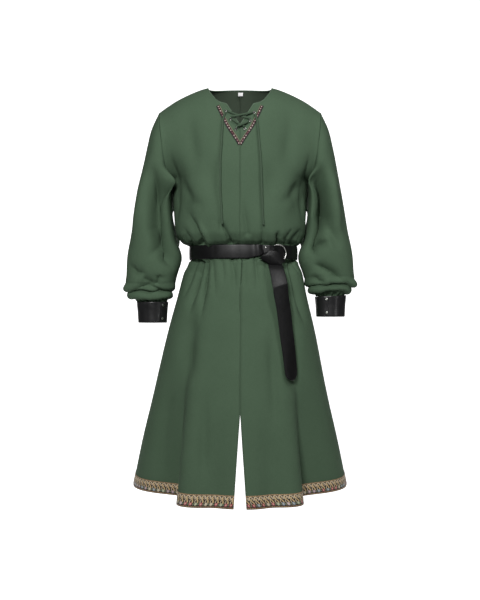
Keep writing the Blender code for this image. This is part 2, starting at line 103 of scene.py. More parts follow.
class Wire:
    """A shader socket that takes part in arithmetic: each operator adds one Math node."""

    def __init__(self, tree, socket):
        self.tree = tree
        self.socket = socket

    def math(self, operation, *others):
        node = self.tree.nodes.new("ShaderNodeMath")
        node.operation = operation
        for slot, value in zip(node.inputs, (self, *others)):
            join(self.tree, slot, value)
        return Wire(self.tree, node.outputs[0])

    def __add__(self, other):
        return self.math("ADD", other)

    __radd__ = __add__

    def __sub__(self, other):
        return self.math("SUBTRACT", other)

    def __rsub__(self, other):
        return (self * -1).math("ADD", other)

    def __mul__(self, other):
        return self.math("MULTIPLY", other)

    __rmul__ = __mul__

    def __truediv__(self, other):
        return self.math("DIVIDE", other)

    def __pow__(self, other):
        return self.math("POWER", other)

    def __abs__(self):
        return self.math("ABSOLUTE")

    def sine(self):
        return self.math("SINE")

    def wave(self, pitch):
        """Sine wave that repeats at a pitch."""
        return (self * (2 * math.pi / pitch)).sine()

    def below(self, limit):
        return self.math("LESS_THAN", limit)

    def above(self, limit):
        return self.math("GREATER_THAN", limit)

    def at_least(self, limit):
        return self.math("MAXIMUM", limit)

    def at_most(self, limit):
        return self.math("MINIMUM", limit)


def join(tree, slot, value):
    """Set a node's input to a number, a colour or a wire."""
    if isinstance(value, Wire):
        tree.links.new(value.socket, slot)
    else:
        slot.default_value = value


class Finish:
    """One material: a Principled BSDF whose inputs are set by name, and any node by one call."""

    def __init__(self, name, **inputs):
        self.material = bpy.data.materials.new(name)
        self.material.use_nodes = True
        self.tree = self.material.node_tree
        self.shader = self.tree.nodes["Principled BSDF"]
        self.set(**inputs)

    def set(self, **inputs):
        for name, value in inputs.items():
            join(self.tree, self.shader.inputs[name.replace("_", " ")], value)

    def add(self, kind, output=0, settings=None, **inputs):
        """Add a node of a kind, set it up, and return one of its outputs."""
        node = self.tree.nodes.new("ShaderNode" + kind)
        for name, value in (settings or {}).items():
            setattr(node, name, value)
        for name, value in inputs.items():
            join(self.tree, node.inputs[name.replace("_", " ")], value)
        return Wire(self.tree, node.outputs[output])

    def mix(self, factor, first, second):
        """Colour between two colours."""
        node = self.tree.nodes.new("ShaderNodeMix")
        node.data_type = "RGBA"
        for slot, value in ((0, factor), (6, first), (7, second)):
            join(self.tree, node.inputs[slot], value)
        return Wire(self.tree, node.outputs[2])

    def uv(self):
        """The piece's own map, in metres along and across its threads."""
        place = self.add("UVMap", settings={"uv_map": "threads"})
        apart = self.tree.nodes.new("ShaderNodeSeparateXYZ")
        self.tree.links.new(place.socket, apart.inputs[0])
        return place, Wire(self.tree, apart.outputs[0]), Wire(self.tree, apart.outputs[1])

    def bump(self, height, distance, strength=1.0):
        normal = self.add("Bump", Height=height, Distance=distance, Strength=strength)
        self.set(Normal=normal)


def grid_mesh(name, grid, uv, material, thickness=0.0, closed=False, edge=0.0, inner=None):
    """Piece made of a grid of points (rows, columns, 3), thickened outward.

    A closed grid repeats its first column as its last one, an edge rounds the rims, and the
    inner face may have a material of its own.
    """
    rows, columns = grid.shape[:2]
    spots = np.arange(rows * columns).reshape(rows, columns)
    index = spots
    if closed:
        grid = grid[:, :-1]
        index = np.arange(rows * (columns - 1)).reshape(rows, columns - 1)
        index = np.concatenate([index, index[:, :1]], axis=1)

    def quads_of(table):
        corners = (table[:-1, :-1], table[:-1, 1:], table[1:, 1:], table[1:, :-1])
        return np.stack(corners, axis=-1).reshape(-1, 4)

    mesh = bpy.data.meshes.new(name)
    mesh.from_pydata(grid.reshape(-1, 3).tolist(), [], quads_of(index).tolist())
    layer = mesh.uv_layers.new(name="threads")
    flat = np.asarray(uv, np.float32).reshape(-1, 2)[quads_of(spots).ravel()]
    layer.uv.foreach_set("vector", flat.ravel())
    mesh.shade_smooth()
    mesh.materials.append(material)
    piece = bpy.data.objects.new(name, mesh)
    bpy.context.scene.collection.objects.link(piece)
    if thickness:
        solidify = piece.modifiers.new("wall", "SOLIDIFY")
        solidify.thickness = thickness
        solidify.offset = 1
    if inner:
        mesh.materials.append(inner)
        solidify.material_offset = 1
    if edge:
        bevel = piece.modifiers.new("edge", "BEVEL")
        bevel.width = edge
        bevel.segments = 2
        bevel.limit_method = "ANGLE"
        bevel.angle_limit = math.radians(50)
    return piece


def place_piece(piece, node):
    """Put a finished piece in the shared frame in place of a CAD node."""
    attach(piece, "root")
    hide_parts(node)


stage_white = Finish("stage_white", Base_Color=(0.9, 0.9, 0.9, 1), Roughness=0.9)
stage_white.set(Emission_Color=(1, 1, 1, 1), Emission_Strength=0.95)
turn = np.linspace(0, math.pi / 2, 12)
sweep_y = np.concatenate([[-0.2], 1.6 + np.sin(turn), [2.6]])
sweep_z = np.concatenate([[0.0], 1 - np.cos(turn), [4.0]]) + FLOOR_Z
sweep_x = np.linspace(-1.9, 1.9, 2)
sweep = np.stack(np.broadcast_arrays(sweep_x[None, :], sweep_y[:, None], sweep_z[:, None]), -1)
backdrop = grid_mesh("backdrop", sweep, sweep[..., :2], stage_white.material)

# Body: two front and two back panels of green cloth, a soft matt plain weave of viscose and
# cotton, sewn at the centre, the sides and the shoulders. They blouse over the belt, and the
# skirt falls in soft flutes with a slit in front and behind.
SHELL = 0.0010
SEAM = 0.00002
# Rings of the worn form: height, half width, depth to the front and to the back, and shift.
BODY_SECTIONS = (
    (-1.085, 0.286, 0.226, 0.215, 0.000),
    (-0.950, 0.2615, 0.204, 0.195, 0.000),
    (-0.800, 0.2285, 0.178, 0.170, 0.001),
    (-0.655, 0.197, 0.152, 0.146, 0.004),
    (-0.560, 0.173, 0.134, 0.128, 0.006),
    (-0.500, 0.158, 0.121, 0.117, 0.008),
    (-0.463, 0.1405, 0.106, 0.103, 0.009),
    (-0.422, 0.1405, 0.106, 0.103, 0.009),
    (-0.411, 0.160, 0.123, 0.116, 0.004),
    (-0.390, 0.1725, 0.135, 0.125, 0.001),
    (-0.340, 0.177, 0.138, 0.128, 0.000),
    (-0.250, 0.182, 0.135, 0.127, 0.000),
)
SIDE_ANGLE = math.pi / 2 - 1e-6
ROUND = 2 / 2.25
HEM_Z = BODY_SECTIONS[0][0]
HEM_RISE = 0.019
NECK_X = 0.086
BACK_NECK_Y = 0.080
BACK_NECK_Z = 0.013
SHOULDER_X = 0.215
SHOULDER_DROP = 0.060
ARMPIT_Z = -0.250
ARMHOLE_DEPTH = 0.075
NECKLINE_Z = (-0.118, -0.057, -0.0515, -0.043, -0.022, -0.008, 0.0)
NECKLINE_X = (SEAM / 2, 0.0353, 0.0537, 0.0642, 0.0785, 0.0845, NECK_X)
SLIT_TOP = -0.856
SLIT_HALF_WIDTH = 0.0155
# Skirt folds: angle from centre front, depth at the hem, width in degrees to the front and to
# the back, and the height where the fold starts.
FOLDS = (
    (-26, 0.012, 9, 9, -0.62),
    (-42, -0.080, 8, 24, -0.62),
    (27, 0.010, 9, 9, -0.66),
    (42, -0.076, 8, 24, -0.66),
    (-11, -0.008, 5, 6, -0.70),
    (14, -0.008, 5, 6, -0.66),
    (4, 0.006, 6, 6, -0.80),
    (-104, 0.010, 10, 10, -0.60),
    (104, 0.010, 10, 10, -0.60),
    (-126, -0.042, 12, 8, -0.58),
    (124, -0.046, 12, 8, -0.60),
    (-154, -0.014, 8, 8, -0.64),
    (152, -0.014, 8, 8, -0.66),
)
BELT_TOP = -0.4255
BELT_BOTTOM = -0.4615
TRIM_TOP = -1.052


def hermite(t, width, span, values, slopes):
    """Cubic curve over a span, from the values and the slopes at its two ends."""
    start = (1 + 2 * t) * (1 - t) ** 2 * values[span] + t * (1 - t) ** 2 * width * slopes[span]
    end = t * t * (3 - 2 * t) * values[span + 1] + t * t * (t - 1) * width * slopes[span + 1]
    return start + end


def through(x, places, values):
    """Monotone cubic curve through (places, values): slopes are harmonic means, or 0 at a turn."""
    places = np.asarray(places, float)
    values = np.asarray(values, float)
    rise = np.diff(values) / np.diff(places)
    product = rise[:-1] * rise[1:]
    total = np.where(product > 0, rise[:-1] + rise[1:], 1)
    slope = np.concatenate([rise[:1], np.where(product > 0, 2 * product / total, 0), rise[-1:]])
    span = np.clip(np.searchsorted(places, x) - 1, 0, len(places) - 2)
    width = places[span + 1] - places[span]
    t = np.clip((x - places[span]) / width, 0, 1)
    return hermite(t, width, span, values, slope)


def power(value, exponent):
    return np.sign(value) * np.abs(value) ** exponent


def fold_depth(angle, height):
    """Outward push of the skirt folds: each is a bell in angle that grows towards the hem."""
    degrees = np.degrees(angle)
    push = np.zeros_like(degrees)
    for centre, depth, to_front, to_back, top in FOLDS:
        away = degrees - centre
        width = np.where(away * np.sign(centre) > 0, to_back, to_front)
        growth = np.clip((top - height) / (top - HEM_Z), 0, 1)
        push += depth * growth ** 1.3 * np.exp(-((away / width) ** 2))
    return push


def body(angle, height):
    """Worn form at an angle from centre front (the wearer's left is +pi/2) and a height.

    x = shift + half w(angle), y = -depth cos(angle)^(2/n), with n = 2.25. Above the armpit
    height is that of the centre line, and rows climb over the shoulder to the seam at y = 0.
    """
    angle, height = np.broadcast_arrays(np.asarray(angle, float), np.asarray(height, float))
    heights, halves, fronts, backs, shifts = zip(*BODY_SECTIONS)
    low = np.minimum(height, ARMPIT_Z)
    in_front = np.cos(angle) > 0
    facing = np.where(in_front, -1, 1)
    across = power(np.sin(angle), ROUND)
    along = np.abs(np.cos(angle)) ** ROUND
    half = through(low, heights, halves)
    depth = np.where(in_front, through(low, heights, fronts), through(low, heights, backs))
    push = fold_depth(angle, low)

    climb = np.clip((height - ARMPIT_Z) / -ARMPIT_Z, 0, 1)
    t = np.arcsin(climb) * 2 / math.pi
    side = (np.where(in_front, np.abs(angle), math.pi - np.abs(angle)) / (math.pi / 2)) ** 3
    x = through(low, heights, shifts) + across * (half + (SHOULDER_X - half) * climb)
    x = x + push * np.sin(angle)

    top_x = SHOULDER_X * np.abs(across)
    slope = np.clip((top_x - NECK_X) / (SHOULDER_X - NECK_X), 0, 1)
    neck = np.where(in_front, 0, np.clip(1 - (top_x / NECK_X) ** 2, 0, 1))
    top_z = BACK_NECK_Z * neck - SHOULDER_DROP * slope ** 1.3
    rise = (1 - side) * climb + side * (1 - np.cos(math.pi * t)) / 2
    skirt = np.clip((SLIT_TOP - low) / (SLIT_TOP - HEM_Z), 0, 1)
    z = low + HEM_RISE * skirt * np.sin(angle) ** 2 + (top_z - ARMPIT_Z) * rise

    top_y = BACK_NECK_Y * np.sqrt(neck)
    lean = (1 - neck) * np.cos(math.pi / 2 * t) + neck * (1 - climb ** 2)
    y = facing * (top_y + (depth * along - top_y) * lean)
    y = y + facing * ARMHOLE_DEPTH * side * np.sin(math.pi * t) - push * np.cos(angle)
    return np.stack([x, y, z], axis=-1)


def angle_at(x, height):
    """Angle from centre front of the form's point at distance x from the centre line."""
    heights, halves, _, _, _ = zip(*BODY_SECTIONS)
    half = through(np.minimum(height, ARMPIT_Z), heights, halves)
    climb = np.clip((np.asarray(height) - ARMPIT_Z) / -ARMPIT_Z, 0, 1)
    half = half + (SHOULDER_X - half) * climb
    return np.arcsin(np.clip(np.asarray(x) / half, 0, 1) ** (1 / ROUND))


def unit(vectors):
    return vectors / np.linalg.norm(vectors, axis=-1, keepdims=True)


def normals(grid):
    """Outward unit normals of a grid whose columns run to the left and whose rows run up."""
    return unit(np.cross(np.gradient(grid, axis=1), np.gradient(grid, axis=0)))


def metric_uv(grid):
    """Map in metres: u is the arc length along each row, v the mean arc length up the columns."""
    along = np.linalg.norm(np.diff(grid, axis=1), axis=-1)
    up = np.linalg.norm(np.diff(grid, axis=0), axis=-1).mean(axis=1)
    u = np.concatenate([np.zeros((len(grid), 1)), np.cumsum(along, axis=1)], axis=1)
    v = np.concatenate([[0], np.cumsum(up)])
    return np.stack([u - u[:, -1:] / 2, v[:, None] + 0 * u], axis=-1)


def smooth(t):
    """Smoothstep of numbers from 0 to 1."""
    return t * t * (3 - 2 * t)


def shell_piece(name, grid, material, thickness, node, slot, **how):
    """Thin piece on a grid, mapped in metres, in place of its CAD node."""
    piece = grid_mesh(name, grid, metric_uv(grid), material, thickness, **how)
    place_piece(piece, node)
    return piece


def run_along(path):
    """Length along a path up to each of its points."""
    return np.concatenate([[0], np.cumsum(np.linalg.norm(np.diff(path, axis=0), axis=1))])


def near_line(x, z, points):
    """Distance from (x, z) to a line of straight spans, and the share of its length there."""
    begun = run_along(points)
    best = np.full(x.shape, 1e9)
    share = np.zeros(x.shape)
    for start, end, before in zip(points[:-1], points[1:], begun):
        length = np.linalg.norm(end - start)
        t = ((x - start[0]) * (end[0] - start[0]) + (z - start[1]) * (end[1] - start[1]))
        t = np.clip(t / length ** 2, 0, 1)
        away = np.hypot(x - start[0] - t * (end[0] - start[0]),
                        z - start[1] - t * (end[1] - start[1]))
        closer = away < best
        best = np.where(closer, away, best)
        share = np.where(closer, (before + t * length) / begun[-1], share)
    return best, share


def creases(x, z, table):
    """Push of listed creases. A row holds width, depth, fades, then the line's x, z, x, z.

    Lengths are in mm, and a fade is the share of the line over which the crease starts or
    ends. A narrow trough is nearly a sharp valley, and the rest are bells.
    """
    push = np.zeros(np.shape(x))
    for width, depth, fade_in, fade_out, *line in table:
        away, share = near_line(1000 * x, 1000 * z, np.reshape(line, (-1, 2)))
        fade = np.clip(share / fade_in, 0, 1) * np.clip((1 - share) / fade_out, 0, 1)
        sharp = 1.25 if depth < 0 and width < 12.5 else 2
        bell = np.exp(-((away / width) ** sharp))
        push += CREASE_STRENGTH * depth / 1000 * smooth(fade) * bell
    return push


THREAD_PITCH = 0.0007


def green_cloth(name, colour, dark):
    """Plain weave: threads 0.7 mm apart, crossing over and under, with uneven slubs."""
    finish = Finish(name, Roughness=0.92, Specular_IOR_Level=0.2)
    place, u, v = finish.uv()
    weave = u.wave(THREAD_PITCH) * v.wave(THREAD_PITCH)
    stretch_u = finish.add("Mapping", Vector=place, Scale=(90, 1400, 1))
    stretch_v = finish.add("Mapping", Vector=place, Scale=(1400, 90, 1))
    weft = finish.add("TexNoise", Vector=stretch_u, Scale=1.0, Detail=2.0)
    warp = finish.add("TexNoise", Vector=stretch_v, Scale=1.0, Detail=2.0)
    cloud = finish.add("TexNoise", Vector=place, Scale=9.0, Detail=3.0)
    thread = weft * 0.5 + warp * 0.5
    tone = (thread - 0.5) * 1.1 + (cloud - 0.5) * 0.5 + weave * 0.06 + 0.5
    finish.set(Base_Color=finish.mix(tone.at_least(0).at_most(1), dark, colour))
    finish.bump(thread * 0.8 + weave * 0.25, 0.0005, 0.5)
    return finish.material


cloth = green_cloth("green_cloth", (0.090, 0.146, 0.090, 1), (0.056, 0.094, 0.056, 1))
# The inner face is a darker, greyer copy of the cloth's colours: painted shade for the inside of
# the tunic.
inside_painted_shade = green_cloth("green_inside_painted_shade", (0.058, 0.080, 0.054, 1), (0.040, 0.056, 0.038, 1))

# Rows of the panels: from a height to a height, in a number of steps.
ROW_SPANS = (
    (HEM_Z, TRIM_TOP, 8), (TRIM_TOP, SLIT_TOP, 34), (SLIT_TOP, -0.56, 52), (-0.56, -0.463, 28),
    (-0.463, -0.422, 8), (-0.422, -0.411, 8), (-0.411, -0.35, 26), (-0.35, ARMPIT_Z, 26),
    (ARMPIT_Z, -0.118, 32), (-0.118, -0.057, 20), (-0.057, -0.0515, 3), (-0.0515, -0.043, 4),
    (-0.043, -0.022, 8), (-0.022, -0.008, 6), (-0.008, 0.0, 7),
)
PANEL_COLUMNS = 86
FRONT_CREASES = (
    # Gathers above the belt.
    (7, -10.5, 0.5, 0.01, -140, -335, -120, -374, -96, -423),
    (6, -9.5, 0.5, 0.01, -56, -355, -42, -385, -22, -423),
    (7, -6, 0.6, 0.10, 4, -300, 12, -350, 21, -408),
    (4.5, -12, 0.6, 0.01, 100, -385, 98, -405, 98, -423),
    (8, -8, 0.5, 0.01, 164, -375, 150, -400, 131, -423),
    (6, -6.5, 0.5, 0.01, 140, -378, 128, -400, 116, -423),
    (7, 5, 0.5, 0.01, -112, -355, -96, -390, -76, -423),
    (6, -5, 0.6, 0.01, 62, -365, 60, -395, 56, -423),
    (6, -5.5, 0.6, 0.01, -150, -372, -140, -395, -124, -423),
    # Broad hollows at the sides of the chest.
    (20, -8, 0.4, 0.5, 166, -220, 154, -315, 136, -385),
    (20, -8, 0.4, 0.4, -172, -180, -152, -300, -130, -390),
    (10, -10, 0.4, 0.4, -181, -170, -177, -270, -166, -385),
    (10, -10, 0.4, 0.4, 183, -170, 178, -280, 164, -385),
    (14, -6, 0.4, 0.6, -166, -250, -128, -310, -80, -340),
    (14, -6, 0.4, 0.6, 168, -250, 134, -300, 92, -330),
    # Drape from the shoulders.
    (20, -6, 0.5, 0.5, -135, -50, -128, -150, -104, -270),
    (20, -6, 0.5, 0.5, 138, -50, 130, -150, 112, -260),
    (22, -5, 0.5, 0.5, -80, -160, -74, -260, -60, -350),
    (22, -4.5, 0.5, 0.5, 82, -180, 78, -270, 66, -350),
    # Creases that start under the belt.
    (9, -17, 0.01, 0.6, -104, -462, -111, -500, -140, -620),
    (8, -14, 0.01, 0.7, -88, -464, -92, -520, -104, -640),
    (8, -5, 0.01, 0.7, -70, -464, -68, -510, -63, -580),
    (7, -5, 0.01, 0.7, -47, -464, -44, -490, -41, -540),
    (8, -8, 0.01, 0.7, -118, -464, -130, -500, -158, -590),
    (8, -7, 0.01, 0.7, -22, -462, -16, -500, -10, -570),
    (6, -4.5, 0.01, 0.7, 10, -464, 12, -500, 13, -560),
    (8, -5, 0.01, 0.7, 40, -464, 43, -500, 47, -570),
    (8, -4.5, 0.01, 0.7, 66, -464, 68, -500, 71, -560),
    (9, -17, 0.01, 0.6, 131, -462, 146, -520, 172, -650),
    (8, -10, 0.01, 0.6, 118, -462, 130, -520, 150, -640),
    (7, 5, 0.01, 0.7, 124, -464, 138, -520, 158, -620),
    # Long soft hollows of the skirt.
    (22, -10, 0.4, 0.4, -118, -560, -134, -680, -136, -800),
    (16, -6, 0.4, 0.4, -88, -780, -92, -920, -90, -1060),
    (14, -6, 0.4, 0.4, 78, -620, 84, -760, 92, -920),
    (18, -8, 0.4, 0.3, 134, -580, 136, -700, 132, -820),
    (20, -6, 0.4, 0.3, -176, -760, -196, -900, -206, -1040),
)
BACK_CREASES = (
    (9, -8.5, 0.6, 0.01, -124, -340, -106, -385, -90, -423),
    (8, -6.5, 0.6, 0.01, -68, -360, -56, -390, -50, -423),
    (8, -7, 0.7, 0.01, -10, -320, -14, -370, -18, -423),
    (8, -7, 0.6, 0.01, 42, -350, 34, -390, 26, -423),
    (9, -8.5, 0.6, 0.01, 126, -340, 106, -385, 86, -423),
    (20, -8, 0.5, 0.5, -140, -80, -128, -200, -100, -330),
    (20, -8, 0.5, 0.5, 142, -80, 126, -210, 102, -330),
    (20, -6, 0.5, 0.5, -40, -60, -36, -200, -44, -340),
    (20, -5.5, 0.5, 0.5, 52, -70, 44, -210, 46, -330),
    (9, -8, 0.01, 0.6, -100, -462, -112, -510, -138, -620),
    (8, -7, 0.01, 0.7, -60, -462, -64, -520, -72, -640),
    (7, -6, 0.01, 0.7, -16, -462, -14, -520, -12, -620),
    (8, -7, 0.01, 0.7, 38, -462, 46, -520, 56, -640),
    (9, -8.5, 0.01, 0.6, 104, -462, 118, -520, 146, -640),
    (18, -8, 0.4, 0.3, -70, -640, -80, -820, -88, -1085),
    (18, -8, 0.4, 0.3, 80, -640, 92, -820, 100, -1085),
)
CREASE_STRENGTH = 1.4
GATHER_COUNT = 46
BLOUSE_SAG = 0.0050
SAG_FROM_Z = -0.424
SKIRT_SWELL = 0.0075
SHOULDER_SINK = 0.0055
GATHER_FADE_UP = 0.020
GATHER_FADE_DOWN = 0.030


def shoulder_droop(x, z):
    """How far the shoulder's end sinks under the weight of the sleeve."""
    outward = np.clip((np.abs(x) - 0.165) / 0.050, 0, 1.4)
    return SHOULDER_SINK * outward ** 1.5 * np.clip((z + 0.16) / 0.09, 0, 1)


def gathers(angle, height):
    """Small pleats that the belt presses into the cloth, fading above and below it."""
    above = np.exp(-np.clip(height - BELT_TOP, 0, None) / GATHER_FADE_UP)
    below = np.exp(-np.clip(BELT_BOTTOM - height, 0, None) / GATHER_FADE_DOWN)
    dice = np.random.default_rng(7)
    push = np.zeros_like(angle)
    for number in range(GATHER_COUNT):
        place = math.pi * (2 * (number + dice.uniform(0.1, 0.9)) / GATHER_COUNT - 1)
        width = dice.uniform(0.018, 0.045)
        depth = dice.uniform(-0.0042, 0.0022)
        lean = dice.uniform(-0.6, 0.6)
        away = (angle - place - lean * (height - BELT_TOP) + math.pi) % (2 * math.pi) - math.pi
        push += depth * np.exp(-((away / width) ** 2))
    return push * above * below


def edge_x(height, in_front):
    """Half width of the opening at the centre line: slit, seam gap or neckline."""
    slit = SLIT_HALF_WIDTH * np.clip((SLIT_TOP - height) / (SLIT_TOP - HEM_Z), 0, 1)
    if in_front:
        return np.maximum(SEAM / 2, slit) + np.interp(height, NECKLINE_Z, NECKLINE_X) - SEAM / 2
    return np.maximum(SEAM / 2, slit)


def panel(side, in_front):
    """Points of one body panel with its creases, rows upward and columns in growing angle."""
    rows = np.concatenate([np.linspace(a, b, n, endpoint=False) for a, b, n in ROW_SPANS] + [[0]])
    start = angle_at(edge_x(rows, in_front), rows)
    columns = np.linspace(0, 1, PANEL_COLUMNS)
    angle = start[:, None] + (SIDE_ANGLE - start[:, None]) * columns[None, :]
    angle = side * (angle if in_front else math.pi - angle)
    height = rows[:, None] + 0 * angle
    if (side > 0) != in_front:
        angle = angle[:, ::-1]
    grid = body(angle, height)
    table = FRONT_CREASES if in_front else BACK_CREASES
    clear_of_side_seam = np.clip(3 * np.abs(np.cos(angle)), 0, 1)
    push = creases(grid[..., 0], grid[..., 2], table) * clear_of_side_seam
    push += gathers(angle, height)
    # The cloth swells out at once below the belt.
    below = BELT_BOTTOM - 0.002 - height
    swell = np.clip(below / 0.006, 0, 1) * np.exp(-np.clip(below, 0, None) / 0.022)
    push += SKIRT_SWELL * swell
    grid = grid + normals(grid) * push[..., None]
    # Seams: the panels' edges just pass each other, so that no light shows between them.
    grid[..., 1] += SEAM if in_front else -SEAM
    sewn = edge_x(rows, in_front) <= SEAM
    grid[sewn, 0 if (side > 0) == in_front else -1, 0] = -side * 2 * SEAM
    # The blouse sags onto the top edge of the belt.
    above = height - SAG_FROM_Z
    sag = np.clip(above / 0.004, 0, 1) * np.exp(-np.clip(above - 0.006, 0, None) / 0.02)
    grid[..., 2] -= BLOUSE_SAG * sag + shoulder_droop(grid[..., 0], grid[..., 2])
    return grid


panels = {}
for side, hand in SIDES:
    for in_front, face in ((True, "front"), (False, "back")):
        node = f"{face}_{hand}"
        panels[node] = panel(side, in_front)
        piece = shell_piece(f"cloth_{node}", panels[node], cloth, SHELL, node, "green_cloth",
                            inner=inside_painted_shade)

# Sleeves: one tube of green cloth each, sewn to the oval armhole, wide to below the elbow and
# gathered into the leather cuff, where it puffs out and bunches.
ARMHOLE_GAP = 0.0013
# Rings of the sleeve: its outer point (x, z), its inner point (x, z), and half its depth.
SLEEVE_SECTIONS = (
    (0.235, -0.102, 0.1865, -0.272, 0.078),
    (0.249, -0.162, 0.1858, -0.300, 0.077),
    (0.264, -0.235, 0.1840, -0.332, 0.074),
    (0.278, -0.310, 0.1805, -0.368, 0.071),
    (0.290, -0.385, 0.1740, -0.408, 0.068),
    (0.302, -0.448, 0.1660, -0.455, 0.067),
    (0.305, -0.500, 0.172, -0.503, 0.066),
    (0.306, -0.542, 0.181, -0.543, 0.058),
    (0.290, -0.563, 0.194, -0.564, 0.042),
)
# Cuffs: middle, top, bottom, half width at the top and at the bottom, and the flap's angle.
CUFFS = {
    -1: (0.2365, -0.574, -0.630, 0.0395, 0.0352, -38),
    1: (0.2440, -0.558, -0.614, 0.0395, 0.0355, -12),
}
CUFF_DEPTH = 0.030
SLEEVE_IN_CUFF = 0.014
CUFF_CLEARANCE = 0.006
SLEEVE_COLUMNS = 132
SLEEVE_ROWS = 190
ROLL_PITCH = 0.027
ROLL_DEPTH = 0.0075
CUFF_GATHER = 0.0022
LEAN_IN = 0.036
WAIST_PUFF = 0.008
# Creases on the front of each sleeve, measured outward from the centre line.
SLEEVE_CREASES = {
    -1: (
        (12, -12, 0.3, 0.3, 290, -534, 278, -541, 241, -533, 212, -544, 182, -560),
        (7, -8, 0.3, 0.3, 296, -549, 251, -552, 226, -560),
        (10, -8.5, 0.3, 0.4, 262, -507, 238, -520, 216, -530),
        (8, -7.5, 0.3, 0.3, 209, -500, 213, -520, 220, -534),
        (10, 7.5, 0.4, 0.4, 300, -520, 306, -545, 290, -560),
        (15, -36, 0.4, 0.3, 230, -200, 228, -300, 224, -380, 208, -440, 190, -490),
        (14, -38, 0.3, 0.3, 202, -250, 200, -360, 190, -430, 178, -500),
        (18, 8, 0.4, 0.4, 254, -180, 268, -300, 280, -440),
        (12, -9, 0.5, 0.4, 204, -360, 222, -430, 246, -470),
        (11, -9, 0.4, 0.4, 300, -470, 276, -495, 240, -500),
        (9, 6, 0.4, 0.4, 178, -520, 170, -545, 182, -562),
    ),
    1: (
        (20, -52, 0.4, 0.4, 214, -200, 212, -290, 214, -350, 196, -425, 186, -480),
        (11, -14, 0.3, 0.4, 184, -444, 206, -428, 240, -410),
        (12, -14, 0.3, 0.4, 186, -470, 240, -495, 284, -526),
        (8, -9, 0.3, 0.2, 224, -530, 260, -533, 298, -526),
        (7, -8, 0.3, 0.2, 210, -546, 250, -549, 290, -545),
        (10, 8, 0.4, 0.4, 298, -508, 305, -534, 290, -552),
        (9, 6, 0.4, 0.4, 188, -525, 180, -545, 190, -556),
        (18, 8, 0.4, 0.4, 238, -200, 254, -300, 264, -400),
        (16, -10, 0.5, 0.5, 254, -180, 276, -320, 290, -430),
        (13, -10, 0.5, 0.4, 226, -300, 240, -380, 268, -450),
        (10, -8, 0.4, 0.4, 186, -500, 206, -520, 232, -522),
    ),
}
SLEEVE_BACK_CREASES = (
    (14, -14, 0.3, 0.3, 190, -300, 205, -360, 236, -410),
    (13, -12, 0.3, 0.4, 186, -420, 225, -455, 276, -470),
    (11, -10, 0.3, 0.3, 196, -500, 235, -515, 286, -508),
    (8, -9, 0.3, 0.3, 188, -535, 230, -547, 290, -540),
    (18, 8, 0.4, 0.4, 240, -180, 258, -300, 264, -400),
    (18, -14, 0.4, 0.4, 222, -160, 228, -260, 216, -380),
)


def armhole(side, turn):
    """Oval where the sleeve starts: turn is 0 at the shoulder point and grows to the front."""
    rise = (1 + np.cos(turn)) / 2
    t = np.arccos(1 - 2 * rise) / math.pi
    half = BODY_SECTIONS[-1][1]
    x = half + (SHOULDER_X - half) * np.sin(math.pi / 2 * t)
    z = ARMPIT_Z - (SHOULDER_DROP + ARMPIT_Z) * rise
    return np.stack([side * x, -ARMHOLE_DEPTH * np.sin(turn), z], axis=-1)


